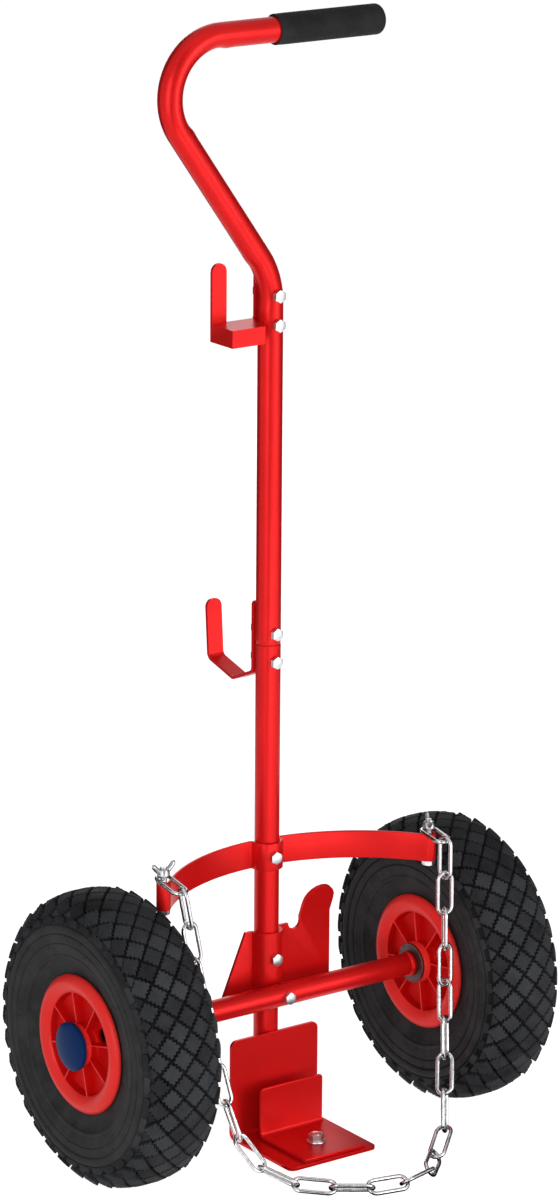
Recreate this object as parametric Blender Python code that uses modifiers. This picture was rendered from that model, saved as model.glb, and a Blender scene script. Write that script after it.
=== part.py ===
"""Gas cylinder cart: a two-piece tube post with a swan-neck handle, a bolted cradle with a safety chain,
a toe plate with a bottle stop, two hooks, a lance bracket and two pneumatic wheels on one axle tube.

X runs along the axle, -Y is the cylinder side and Z is up. The origin is on the floor under the post.
"""
import bpy
import bmesh
from math import asin, atan2, cos, pi, radians, sin, sqrt, tan
from mathutils import Matrix, Vector

for old in list(bpy.data.objects):
    bpy.data.objects.remove(old, do_unlink=True)

# Fits and fasteners
FIT = 0.0003
BOLT_RADIUS = 0.003
BOLT_HEAD_FLATS = 0.010
BOLT_HEAD_HEIGHT = 0.004
NUT_HEIGHT = 0.005
BOLT_PROTRUSION = 0.002

# Post and handle, bent from one size of tube
POST_RADIUS = 0.011
TUBE_WALL = 0.0015
FOOT_WALL = 0.003
SEAM_HEIGHT = 0.447
SPIGOT_LENGTH = 0.040
LOWER_BEND_HEIGHT = 0.771
LOWER_BEND_RADIUS = 0.070
UPPER_BEND_RADIUS = 0.050
HANDLE_LEAN = radians(35.6)
HANDLE_HEIGHT = 0.9815
HANDLE_REACH = 0.107
GRIP_LENGTH = 0.110
GRIP_WALL = 0.002
GRIP_END_WALL = 0.004

# Wheels and axle
WHEEL_RADIUS = 0.130
WHEEL_TRACK = 0.364
TYRE_WIDTH = 0.076
TYRE_WALL = 0.007
TYRE_FULLNESS = 0.80
TYRE_REACH = radians(128)
TREAD_AROUND = 35
TREAD_ROW = 0.011
TREAD_ROWS = 3
TREAD_DEPTH = 0.003
TREAD_GROOVE = 0.0024
RIM_FLANGE_RADIUS = 0.0614
RIM_BEAD_RADIUS = 0.052
RIM_WIDTH = 0.066
RIM_FLANGE_THICKNESS = 0.004
RIM_BARREL_WALL = 0.004
RIM_RING = 0.0485
RIM_RING_RISE = 0.0035
RIM_CHAMFER = 0.0035
RIM_CHAMFER_DEPTH = 0.005
RIM_RECESS = 0.0085
RIM_DRAFT = 0.001
RIM_WEB = 0.004
RIM_RIBS = 8
RIM_RIB_THICKNESS = 0.0022
RIM_RIB_SETBACK = 0.0012
RIB_TURNS = {"left": radians(6.7), "right": radians(33.3)}
WHEEL_TURNS = {"left": radians(7.3), "right": radians(3.2)}
VALVE_HOLE = 0.0055
VALVE_CENTRE = 0.0265
VALVE_PLACE = 1.645
HUB_RADIUS = 0.0185
HUB_LENGTH = 0.075
AXLE_RADIUS = 0.010
AXLE_WALL = 0.002
AXLE_BEAD = 0.002
AXLE_BEAD_WIDTH = 0.005
WASHER_RADIUS = 0.018
WASHER_THICKNESS = 0.0025
CAP_RADIUS = 0.0215
CAP_RIM = 0.0035
CAP_DOME = 0.0045
CAP_SOCKET = 0.0045

# Lance bracket, a folded sheet that wraps the front of the post
SHEET = 0.003
SHEET_BEND = 0.003
BRACKET_BOLT_HEIGHT = 0.160
BRACKET_TOP = 0.184
BRACKET_BOTTOM = 0.1275
BRACKET_TAB_DROP = 0.0085
BRACKET_LEFT = 0.045
BRACKET_LEFT_TOP = 0.021
BRACKET_RIGHT = 0.0705
NOTCH_CENTRE = 0.0315
NOTCH_RADIUS = 0.0065
LUG_CREASE = 0.188
LUG_LENGTH = 0.031
LUG_LEAN = radians(22)

# Cradle strap, clamped to the post a few degrees off square
CRADLE_HEIGHT = 0.2548
CRADLE_YAW = radians(-5.2)
CRADLE_RADIUS = 0.170
EYE_TO_TYRE = 0.0101
STRAP_WIDTH = 0.025
STRAP_THICKNESS = 0.003
STRAP_BEND = 0.003
EYE_ROLL = radians(280)

# Toe plate and bottle stop
TOE_WIDTH = 0.094
TOE_HEIGHT = 0.092
TOE_REACH = 0.092
TOE_BEND = 0.005
TOE_CORNER = 0.006
STOP_WIDTH = 0.067
STOP_OFFSET = 0.004
STOP_HEIGHT = 0.047
STOP_SETBACK = 0.021
STOP_INSET = 0.003
STOP_CORNER = 0.003
STOP_BOLT_FORWARD = 0.038
STOP_BOLT_RADIUS = 0.004
STOP_BOLT_SINK = 0.0015
STOP_NUT_FLATS = 0.012
STOP_NUT_HEIGHT = 0.0055
STOP_FLANGE_RADIUS = 0.0085
STOP_FLANGE_HEIGHT = 0.0015

# Hooks bolted behind the post, with weld nuts on their legs
HOOK_WIDTH = 0.016
HOOK_BOLT_SPACING = 0.0255
HOOK_LEG_CORNER = 0.003
UPPER_HOOK_BELOW_BEND = 0.0405
UPPER_HOOK_LEG = 0.0505
UPPER_HOOK_SHELF = 0.003
UPPER_HOOK_SKIRT = 0.0155
UPPER_HOOK_DEPTH = 0.030
UPPER_HOOK_LEFT = 0.0525
UPPER_HOOK_FRONT_END = 0.0185
UPPER_FINGER_WIDTH = 0.015
UPPER_FINGER_RISE = 0.052
LOWER_HOOK_BELOW_SEAM = 0.015
LOWER_HOOK_LEG = 0.051
LOWER_HOOK_TAIL = 0.013
LOWER_HOOK_VALLEY_REACH = 0.030
LOWER_HOOK_VALLEY_DROP = 0.013
LOWER_HOOK_REACH = 0.067
LOWER_HOOK_BASE_DROP = 0.003
LOWER_FINGER_RISE = 0.052
LOWER_FINGER_LEAN = radians(4)
HOOK_BEND_RADIUS = 0.006
FINGER_TIP_RADIUS = 0.007

# Wing nuts and chain
WING_BASE_RADIUS = 0.0055
WING_BASE_HEIGHT = 0.006
WING_SPAN = 0.026
WING_RISE = 0.013
WING_THICKNESS = 0.0024
WING_TURNS = {"left": radians(8), "right": radians(65)}
LINK_WIRE = 0.0018
LINK_INSIDE = 0.0335
LINK_OUTER_WIDTH = 0.017
LINK_SLACK = 0.0010
LINK_END_STEPS = 5
END_LINK_TURNS = {"left": radians(2), "right": radians(-5)}
END_LINK_DROOPS = {"left": radians(8), "right": radians(2)}

# The slack chain: its joints from the left eye down to the floor, before the toe plate, and up to the right eye,
# with the eyes this far from the middle
ROUTE_SPREAD = 0.1339
CHAIN_ROUTE = [
    (-0.1350, -0.0730, 0.2310),
    (-0.1262, -0.0735, 0.1990),
    (-0.1225, -0.0790, 0.1670),
    (-0.1190, -0.0845, 0.1345),
    (-0.1155, -0.0900, 0.1024),
    (-0.1115, -0.0982, 0.0700),
    (-0.1060, -0.1065, 0.0385),
    (-0.0950, -0.1260, 0.0160),
    (-0.0717, -0.1492, 0.0070),
    (-0.0442, -0.1683, 0.0065),
    (-0.0180, -0.1850, 0.0065),
    (0.0139, -0.1900, 0.0065),
    (0.0445, -0.1830, 0.0085),
    (0.0690, -0.1620, 0.0115),
    (0.0905, -0.1430, 0.0270),
    (0.1010, -0.1305, 0.0520),
    (0.1085, -0.1205, 0.0735),
    (0.1144, -0.1120, 0.1044),
    (0.1182, -0.1060, 0.1373),
    (0.1207, -0.1020, 0.1711),
    (0.1215, -0.1000, 0.2030),
    (0.1216, -0.0990, 0.2378),
]
# Which way each link's width points: its compass angle from X, and its rise from level, in degrees
CHAIN_FACES = [
    (82, 0), (1, 0), (88, 0), (2, 0), (85, 0), (1, 0), (80, 0), (5, 0),
    (44, -42), (55, 32), (55, -38), (89, 36), (92, -34), (130, 55), (129, -8),
    (41, 0), (121, 0), (36, 0), (101, 0), (2, 0), (61, 0), (167, 0), (96, 0),
]
RELAX_ROUNDS = 3000
EASE_ROUNDS = 100
EASE = 0.05

# Places that follow from the sizes above
AXLE_FORWARD = POST_RADIUS + SHEET + AXLE_RADIUS + 2 * FIT
BOLT_HOLE = BOLT_RADIUS + FIT
HEX_RADIUS = BOLT_HEAD_FLATS / sqrt(3)
PLATE_PLANE = POST_RADIUS + FIT + SHEET / 2
STRAP_SADDLE = POST_RADIUS + FIT + STRAP_THICKNESS / 2
EYE_RADIUS = BOLT_HOLE + STRAP_THICKNESS / 2
EYE_SPREAD = WHEEL_TRACK / 2 - TYRE_WIDTH / 2 - EYE_TO_TYRE
CRADLE_HALF_ANGLE = asin(EYE_SPREAD / (CRADLE_RADIUS + EYE_RADIUS))
UPPER_HOOK_BOLT = LOWER_BEND_HEIGHT - UPPER_HOOK_BELOW_BEND
UPPER_HOOK_TOP = UPPER_HOOK_BOLT + UPPER_HOOK_LEG
UPPER_HOOK_PLATE = UPPER_HOOK_BOLT + UPPER_HOOK_SHELF
LOWER_HOOK_BOLT = SEAM_HEIGHT - LOWER_HOOK_BELOW_SEAM
LOWER_HOOK_TOP = LOWER_HOOK_BOLT + LOWER_HOOK_LEG
LOWER_HOOK_BEND = LOWER_HOOK_BOLT - LOWER_HOOK_TAIL
HUB_INNER = WHEEL_TRACK / 2 - HUB_LENGTH / 2
HUB_OUTER = WHEEL_TRACK / 2 + HUB_LENGTH / 2
STOP_PLANE = PLATE_PLANE + STOP_SETBACK
STOP_FLOOR = SHEET + FIT
STOP_BOLT_AT = (STOP_OFFSET, -(STOP_PLANE + STOP_BOLT_FORWARD), 0)
LINK_HALF = LINK_OUTER_WIDTH / 2 - LINK_WIRE
LINK_PITCH = LINK_INSIDE - LINK_SLACK
LINK_REST = BOLT_RADIUS + 2 * FIT
CHAIN_FLOOR = LINK_HALF * sin(radians(42)) + LINK_WIRE + FIT

UP = Vector((0, 0, 1))
# A flat outline's local X and Y become world Y and Z, and its thickness runs along X
SIDE_VIEW = Matrix(((0, 0, 1, 0), (1, 0, 0, 0), (0, 1, 0, 0), (0, 0, 0, 1)))
# A flat outline's local X and Y become world X and Z, and its thickness runs along Y
FRONT_VIEW = Matrix(((1, 0, 0, 0), (0, 0, -1, 0), (0, 1, 0, 0), (0, 0, 0, 1)))
# A turned piece's local Z becomes world Y, from the front to the rear
ALONG_Y = Matrix(((1, 0, 0, 0), (0, 0, 1, 0), (0, -1, 0, 0), (0, 0, 0, 1)))
AXLE_PLACE = Matrix.Translation((0, -AXLE_FORWARD, WHEEL_RADIUS))

parts = bpy.data.collections.new("gas_cylinder_cart")
cutters = bpy.data.collections.new("cutters")
bpy.context.scene.collection.children.link(parts)
bpy.context.scene.collection.children.link(cutters)


def material(name, colour, roughness, metallic):
    """A plain Principled material."""
    made = bpy.data.materials.new(name)
    made.use_nodes = True
    shader = made.node_tree.nodes["Principled BSDF"]
    shader.inputs["Base Color"].default_value = (*colour, 1)
    shader.inputs["Roughness"].default_value = roughness
    shader.inputs["Metallic"].default_value = metallic
    return made


red_paint = material("red_paint", (0.70, 0.020, 0.020), 0.35, 0.0)
red_plastic = material("red_plastic", (0.78, 0.025, 0.022), 0.40, 0.0)
blue_plastic = material("blue_plastic", (0.012, 0.037, 0.107), 0.40, 0.0)
tyre_rubber = material("tyre_rubber", (0.030, 0.030, 0.030), 0.80, 0.0)
grip_rubber = material("grip_rubber", (0.022, 0.022, 0.022), 0.75, 0.0)
zinc = material("zinc", (0.75, 0.76, 0.78), 0.28, 1.0)


def add(name, mesh, look=None, place=Matrix.Identity(4), parent=None):
    """Put a mesh among the parts, or among the hidden cutters where it has no material."""
    made = bpy.data.objects.new(name, mesh)
    made.parent = parent
    made.matrix_local = place
    if look is None:
        cutters.objects.link(made)
        made.hide_render = True
        made.display_type = "WIRE"
    else:
        parts.objects.link(made)
        mesh.materials.clear()
        mesh.materials.append(look)
        mesh.shade_smooth()
        mesh.set_sharp_from_angle(angle=radians(35))
    return made


def baked(obj):
    """The evaluated mesh of a working object, welded, with the object removed."""
    bpy.context.scene.collection.objects.link(obj)
    graph = bpy.context.evaluated_depsgraph_get()
    mesh = bpy.data.meshes.new_from_object(obj.evaluated_get(graph))
    bpy.data.objects.remove(obj, do_unlink=True)
    work = bmesh.new()
    work.from_mesh(mesh)
    bmesh.ops.remove_doubles(work, verts=work.verts, dist=0.000001)
    work.to_mesh(mesh)
    work.free()
    return mesh


def curve_object(points, cyclic=False, flat=False):
    """A working object with one poly spline through the points."""
    data = bpy.data.curves.new("path", "CURVE")
    data.dimensions = "2D" if flat else "3D"
    spline = data.splines.new("POLY")
    spline.points.add(len(points) - 1)
    for slot, point in zip(spline.points, points):
        slot.co = (*point, 0, 1) if len(point) == 2 else (*point, 1)
    spline.use_cyclic_u = cyclic
    return bpy.data.objects.new("path", data)


def plate_mesh(outline, thickness):
    """A closed flat outline made into a plate, centred on its own plane."""
    path = curve_object(outline, cyclic=True, flat=True)
    path.data.fill_mode = "BOTH"
    path.data.extrude = thickness / 2
    return baked(path)


def wall_mesh(surface, thickness, offset):
    """An open surface given a wall."""
    sheet = bpy.data.objects.new("sheet", surface)
    wall = sheet.modifiers.new("wall", "SOLIDIFY")
    wall.thickness = thickness
    wall.offset = offset
    wall.use_even_offset = True
    return baked(sheet)


def strip_mesh(points, width, thickness):
    """A bent strip of sheet: the path is its middle line and its width runs along local Z."""
    path = curve_object(points, flat=True)
    path.data.extrude = width / 2
    return wall_mesh(baked(path), thickness, 0)


def round_corners(mesh, end, width, radius):
    """Round the two free corners of a strip at one end of its path."""
    corners = [Vector((*end, side * width / 2)) for side in (-1, 1)]
    work = bmesh.new()
    work.from_mesh(mesh)
    chosen = []
    for edge in work.edges:
        middle = (edge.verts[0].co + edge.verts[1].co) / 2
        if min((middle - corner).length for corner in corners) < 0.00001:
            chosen.append(edge)
    bmesh.ops.bevel(work, geom=chosen, offset=radius, segments=5, profile=0.5, affect="EDGES")
    work.to_mesh(mesh)
    work.free()


def prism_mesh(radius, bottom, top, sides):
    """A cylinder or hexagon along local Z."""
    work = bmesh.new()
    place = Matrix.Translation((0, 0, (bottom + top) / 2))
    bmesh.ops.create_cone(work, cap_ends=True, segments=sides, radius1=radius, radius2=radius,
                          depth=top - bottom, matrix=place)
    mesh = bpy.data.meshes.new("prism")
    work.to_mesh(mesh)
    work.free()
    return mesh


def boxes_mesh(boxes):
    """Separate boxes in one mesh, each a placement and two opposite corners."""
    work = bmesh.new()
    for place, low, high in boxes:
        size = Vector(high) - Vector(low)
        centre = (Vector(high) + Vector(low)) / 2
        bmesh.ops.create_cube(work, size=1, matrix=place @ Matrix.Translation(centre) @ Matrix.Diagonal((*size, 1)))
    mesh = bpy.data.meshes.new("boxes")
    work.to_mesh(mesh)
    work.free()
    return mesh


def box_mesh(low, high):
    """One box between two corners."""
    return boxes_mesh([(Matrix.Identity(4), low, high)])


def turned_mesh(profile, steps, closed=False):
    """A piece turned about local Z from (radius, height) points that run down its outer side."""
    mesh = bpy.data.meshes.new("profile")
    edges = [(i, i + 1) for i in range(len(profile) - 1)]
    if closed:
        edges.append((len(profile) - 1, 0))
    mesh.from_pydata([(radius, 0, height) for radius, height in profile], edges, [])
    spun = bpy.data.objects.new("turned", mesh)
    screw = spun.modifiers.new("turn", "SCREW")
    screw.steps = steps
    screw.render_steps = steps
    screw.use_merge_vertices = True
    screw.merge_threshold = 0.00001
    return baked(spun)


def boolean(obj, other, operation):
    """Cut, join or trim an object with a hidden one."""
    change = obj.modifiers.new(operation.lower(), "BOOLEAN")
    change.operation = operation
    change.solver = "EXACT"
    change.object = other


def arc(centre, radius, start, end, steps):
    """Points on a circular arc, both ends included."""
    turns = [start + (end - start) * i / steps for i in range(steps + 1)]
    return [(centre[0] + radius * cos(turn), centre[1] + radius * sin(turn)) for turn in turns]


def filleted(points, radius, steps):
    """A polyline in a plane with its inner corners rounded to one radius."""
    path = [Vector(points[0])]
    for before, corner, after in zip(points, points[1:], points[2:]):
        corner = Vector(corner)
        back = (Vector(before) - corner).normalized()
        ahead = (Vector(after) - corner).normalized()
        half = back.angle(ahead) / 2
        middle = corner + (back + ahead).normalized() * radius / sin(half)
        first = corner + back * radius / tan(half) - middle
        swing = first.angle_signed(corner + ahead * radius / tan(half) - middle)
        start = atan2(first.y, first.x)
        for i in range(steps + 1):
            turn = start - swing * i / steps
            path.append(middle + radius * Vector((cos(turn), sin(turn))))
    path.append(Vector(points[-1]))
    return [tuple(point) for point in path]


def route_length(points):
    """The length of a polyline."""
    return sum((after - before).length for before, after in zip(points, points[1:]))


def saddle(radius, bend, steps):
    """A path round the front of the post, with a bend at each side into a wing along X."""
    left = arc((-radius - bend, 0), bend, pi / 2, 0, 4)
    front = arc((0, 0), radius, pi, 2 * pi, steps)
    right = arc((radius + bend, 0), bend, pi, pi / 2, 4)
    return left + front[1:] + right[1:]


def drill(name, height, parent=None):
    """A cutter for a bolt hole along Y, through the post and all that is bolted to it."""
    reach = 2 * (AXLE_FORWARD + AXLE_RADIUS)
    place = Matrix.Translation((0, 0, height)) @ ALONG_Y
    return add(name, prism_mesh(BOLT_HOLE, -reach, reach, 12), place=place, parent=parent)


def hex_bolt(name, place, grip, parent=None):
    """A hexagon-head bolt: local Z runs from the head's seat along the shank, whose length is grip."""
    bolt = add(name, prism_mesh(HEX_RADIUS, -BOLT_HEAD_HEIGHT, 0, 6), zinc, place, parent)
    shank = prism_mesh(BOLT_RADIUS, -BOLT_HEAD_HEIGHT / 2, grip, 12)
    boolean(bolt, add(name + "_shank", shank, place=place, parent=parent), "UNION")


def hex_nut(name, place, parent=None):
    """A hexagon nut with its seat at local Z zero."""
    nut = add(name, prism_mesh(HEX_RADIUS, 0, NUT_HEIGHT, 6), zinc, place, parent)
    bore = prism_mesh(BOLT_HOLE, -NUT_HEIGHT, 2 * NUT_HEIGHT, 12)
    boolean(nut, add(name + "_bore", bore, place=place, parent=parent), "DIFFERENCE")


def post_fastener(label, front, height, parent=None):
    """A bolt through the post with its head seated at front and a nut behind the post."""
    grip = front + POST_RADIUS + 2 * FIT + NUT_HEIGHT + BOLT_PROTRUSION
    hex_bolt(label + "_bolt", Matrix.Translation((0, -front, height)) @ ALONG_Y, grip, parent)
    hex_nut(label + "_nut", Matrix.Translation((0, POST_RADIUS + FIT, height)) @ ALONG_Y, parent)


# Everything clamped with the cradle strap turns with this empty
cradle = bpy.data.objects.new("cradle_place", None)
parts.objects.link(cradle)
cradle.location = (0, 0, CRADLE_HEIGHT)
cradle.rotation_euler = (0, 0, CRADLE_YAW)
bpy.context.view_layer.update()

upper_bolts = [UPPER_HOOK_BOLT, UPPER_HOOK_BOLT + HOOK_BOLT_SPACING]
lower_bolts = [LOWER_HOOK_BOLT, LOWER_HOOK_BOLT + HOOK_BOLT_SPACING]
axle_drill = drill("axle_drill", WHEEL_RADIUS)
bracket_drill = drill("bracket_drill", BRACKET_BOLT_HEIGHT)
cradle_drill = drill("cradle_drill", 0, cradle)
upper_drills = [drill("upper_hook_drill", height) for height in upper_bolts]
lower_drills = [drill("lower_hook_drill", height) for height in lower_bolts]


def build_lower_tube():
    """The foot of the post, closed by a welded disc, with a reduced spigot that plugs into the upper tube."""
    bore = POST_RADIUS - TUBE_WALL
    spigot = bore - FIT
    spigot_bore = spigot - TUBE_WALL
    top = SEAM_HEIGHT + SPIGOT_LENGTH
    profile = [
        (spigot_bore, top), (spigot, top), (spigot, SEAM_HEIGHT), (POST_RADIUS, SEAM_HEIGHT), (POST_RADIUS, 0),
        (0, 0), (0, FOOT_WALL), (bore, FOOT_WALL), (bore, SEAM_HEIGHT - TUBE_WALL), (spigot_bore, SEAM_HEIGHT),
    ]
    tube = add("lower_tube", turned_mesh(profile, 24, closed=True), red_paint)
    for cutter in [axle_drill, bracket_drill, cradle_drill] + lower_drills:
        boolean(tube, cutter, "DIFFERENCE")


def build_upper_tube():
    """The straight post, a bend to the left, and a wide bend back over the post for the grip."""
    lean = tan(HANDLE_LEAN)
    foot = (0, SEAM_HEIGHT + FIT)
    knee = (0, LOWER_BEND_HEIGHT)
    peak = (-lean * (HANDLE_HEIGHT - LOWER_BEND_HEIGHT), HANDLE_HEIGHT)
    lower = filleted([foot, knee, peak], LOWER_BEND_RADIUS, 7)
    upper = filleted([knee, peak, (HANDLE_REACH, HANDLE_HEIGHT)], UPPER_BEND_RADIUS, 16)
    path = curve_object([(x, 0, z) for x, z in lower[:-1] + upper[1:]])
    path.data.bevel_depth = POST_RADIUS
    path.data.bevel_resolution = 6
    tube = add("upper_tube", wall_mesh(baked(path), TUBE_WALL, -1), red_paint)
    for cutter in upper_drills + lower_drills[1:]:
        boolean(tube, cutter, "DIFFERENCE")


def build_hand_grip():
    """A rubber sleeve with a closed round end, pushed on the handle."""
    bore = POST_RADIUS + FIT
    outside = bore + GRIP_WALL
    seat = HANDLE_REACH + FIT
    end = seat + GRIP_END_WALL
    dome = arc((outside - GRIP_END_WALL, seat), GRIP_END_WALL, pi / 2, 0, 5)
    profile = [(0, end)] + dome + [(outside, end - GRIP_LENGTH), (bore, end - GRIP_LENGTH), (bore, seat), (0, seat)]
    place = Matrix.Translation((0, 0, HANDLE_HEIGHT)) @ Matrix.Rotation(pi / 2, 4, "Y")
    add("hand_grip", turned_mesh(profile, 24), grip_rubber, place)


def build_axle():
    """A straight tube bolted before the post, with a swaged bead and a washer inside each wheel."""
    bead_out = HUB_INNER - 2 * FIT - WASHER_THICKNESS
    bead_in = bead_out - AXLE_BEAD_WIDTH
    end = HUB_OUTER + CAP_SOCKET
    bore = AXLE_RADIUS - AXLE_WALL
    swell = AXLE_RADIUS + AXLE_BEAD
    half = [
        (AXLE_RADIUS, end), (AXLE_RADIUS, bead_out), (swell, bead_out - AXLE_BEAD_WIDTH / 3),
        (swell, bead_in + AXLE_BEAD_WIDTH / 3), (AXLE_RADIUS, bead_in),
    ]
    profile = half + [(radius, -along) for radius, along in reversed(half)] + [(bore, -end), (bore, end)]
    along_x = AXLE_PLACE @ Matrix.Rotation(pi / 2, 4, "Y")
    tube = add("axle_tube", turned_mesh(profile, 24, closed=True), red_paint, along_x)
    boolean(tube, axle_drill, "DIFFERENCE")
    post_fastener("axle", AXLE_FORWARD + AXLE_RADIUS + FIT, WHEEL_RADIUS)


def rim_mesh():
    """A moulded rim: bead seat, two flanges, a recess with a web on each side, and a long hub."""
    half = RIM_WIDTH / 2
    bore = AXLE_RADIUS + FIT
    outside = [(RIM_FLANGE_RADIUS, half - RIM_FLANGE_THICKNESS / 2),
               (RIM_FLANGE_RADIUS, half - RIM_FLANGE_THICKNESS),
               (RIM_BEAD_RADIUS, half - 2 * RIM_FLANGE_THICKNESS)]
    ring = half + RIM_RING_RISE
    throat = RIM_RING - RIM_CHAMFER
    inside = [(RIM_FLANGE_RADIUS - RIM_FLANGE_THICKNESS / 2, half), (RIM_RING, ring),
              (throat, ring - RIM_CHAMFER_DEPTH), (throat - RIM_DRAFT, half - RIM_RECESS),
              (HUB_RADIUS, half - RIM_RECESS), (HUB_RADIUS, HUB_LENGTH / 2), (bore, HUB_LENGTH / 2)]
    profile = outside + [(r, -z) for r, z in reversed(outside)]
    profile += [(r, -z) for r, z in inside] + list(reversed(inside))
    return turned_mesh(profile, TREAD_AROUND, closed=True)


def rib_mesh(turn):
    """Ribs from the hub to the barrel, through the rim."""
    depth = RIM_WIDTH / 2 - RIM_RIB_SETBACK
    low = (HUB_RADIUS - RIM_RIB_THICKNESS / 4, -RIM_RIB_THICKNESS / 2, -depth)
    high = (RIM_BEAD_RADIUS - RIM_BARREL_WALL / 2, RIM_RIB_THICKNESS / 2, depth)
    turns = [turn + 2 * pi * i / RIM_RIBS for i in range(RIM_RIBS)]
    return boxes_mesh([(Matrix.Rotation(each, 4, "Z"), low, high) for each in turns])


def rim_space_mesh():
    """The hollow between the two webs of a rim."""
    depth = RIM_WIDTH / 2 - RIM_RECESS - RIM_WEB
    barrel = RIM_BEAD_RADIUS - RIM_BARREL_WALL
    return turned_mesh([(barrel, depth), (barrel, -depth), (HUB_RADIUS, -depth), (HUB_RADIUS, depth)], TREAD_AROUND,
                       closed=True)


def tyre_section(half_height, half_width, steps):
    """Points over a tyre's section from its left bead to its right one, as (radius, width)."""
    middle = (RIM_FLANGE_RADIUS + 2 * FIT + WHEEL_RADIUS) / 2
    points = []
    for i in range(steps + 1):
        turn = TYRE_REACH * (2 * i / steps - 1)
        rise = abs(cos(turn)) ** TYRE_FULLNESS * half_height
        spread = abs(sin(turn)) ** TYRE_FULLNESS * half_width
        points.append(Vector((middle + (rise if cos(turn) > 0 else -rise), spread if turn > 0 else -spread)))
    return points


def on_section(points, way, sink):
    """The point of a section that is a way from its crown, sunk below its surface."""
    run = -route_length(points) / 2
    for before, after in zip(points, points[1:]):
        step = (after - before).length
        if run + step >= way or after is points[-1]:
            along = (after - before) / step
            return before + along * (way - run) - sink * Vector((along.y, -along.x))
        run += step


def tyre_mesh():
    """A tyre with a lattice of diamond blocks on its crown, whose air space is open towards the rim."""
    seat = RIM_BEAD_RADIUS + FIT
    bead = RIM_WIDTH / 2 - 2 * RIM_FLANGE_THICKNESS - FIT
    lip = RIM_WIDTH / 2 - RIM_FLANGE_THICKNESS - FIT
    low = RIM_FLANGE_RADIUS + 2 * FIT
    height = (WHEEL_RADIUS - low) / 2
    outside = tyre_section(height, TYRE_WIDTH / 2, 200)
    inside = tyre_section(height - TYRE_WALL, TYRE_WIDTH / 2 - TYRE_WALL, 8)
    pitch = 2 * pi / TREAD_AROUND
    work = bmesh.new()

    def corner(point, turn):
        return work.verts.new((point.x * cos(turn), point.x * sin(turn), point.y))

    def triangles(*corners):
        for second, third in zip(corners[1:], corners[2:]):
            work.faces.new((corners[0], second, third))

    crossings = {}
    for row in range(-TREAD_ROWS - 1, TREAD_ROWS + 2):
        point = on_section(outside, row * TREAD_ROW, TREAD_DEPTH)
        turns = [(i + (row + 1) % 2 / 2) * pitch for i in range(TREAD_AROUND)]
        crossings[row] = [corner(point, turn) for turn in turns]
    half_pitch = pitch * WHEEL_RADIUS / 2
    share = 1 - TREAD_GROOVE / 2 * sqrt(half_pitch ** 2 + TREAD_ROW ** 2) / (half_pitch * TREAD_ROW)
    for row in range(-TREAD_ROWS, TREAD_ROWS + 1):
        level = on_section(outside, row * TREAD_ROW, 0)
        ahead = on_section(outside, (row + share) * TREAD_ROW, 0)
        behind = on_section(outside, (row - share) * TREAD_ROW, 0)
        for i in range(TREAD_AROUND):
            turn = (i + row % 2 / 2) * pitch
            after = (i + row % 2) % TREAD_AROUND
            feet = [crossings[row][after], crossings[row + 1][i], crossings[row][after - 1], crossings[row - 1][i]]
            tops = [corner(level, turn + share * pitch / 2), corner(ahead, turn),
                    corner(level, turn - share * pitch / 2), corner(behind, turn)]
            for k in range(4):
                triangles(feet[k - 1], feet[k], tops[k], tops[k - 1])
            triangles(*tops[:3])
            triangles(tops[2], tops[3], tops[0])

    shoulder = (TREAD_ROWS + 1) * TREAD_ROW + TREAD_GROOVE
    edge = route_length(outside) / 2
    flank = [on_section(outside, shoulder + (edge - shoulder) * i / 4, 0) for i in range(5)]
    half = flank + [Vector((low - FIT, lip - FIT)), Vector((seat, bead)), Vector((seat, bead - TYRE_WALL))]
    profile = half + list(reversed(inside)) + [Vector((point.x, -point.y)) for point in reversed(half)]
    rings = [[corner(point, i * pitch) for i in range(TREAD_AROUND)] for point in profile]
    for before, after in zip(rings, rings[1:]):
        for i in range(TREAD_AROUND):
            triangles(before[i - 1], before[i], after[i], after[i - 1])
    for ring, side in ((rings[0], 1), (rings[-1], -1)):
        valley = crossings[side * TREAD_ROWS]
        ridge = crossings[side * (TREAD_ROWS + 1)]
        for i in range(TREAD_AROUND):
            after = (i + 1) % TREAD_AROUND
            triangles(valley[i], ring[i], ridge[i])
            triangles(ring[i], ring[after], ridge[i])
            triangles(ridge[i], ring[after], valley[after])
    bmesh.ops.recalc_face_normals(work, faces=work.faces)
    mesh = bpy.data.meshes.new("tyre")
    work.to_mesh(mesh)
    work.free()
    return mesh


def cap_mesh():
    """A domed push-on cap, seated over the axle end."""
    bore = AXLE_RADIUS + FIT
    profile = [(0, CAP_RIM + CAP_DOME)]
    steps = 5
    for i in range(1, steps + 1):
        turn = pi / 2 * i / steps
        profile.append((CAP_RADIUS * sin(turn), CAP_RIM + CAP_DOME * cos(turn)))
    socket = CAP_SOCKET + FIT
    return turned_mesh(profile + [(CAP_RADIUS, FIT), (bore, FIT), (bore, socket), (0, socket)], 24)


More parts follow.
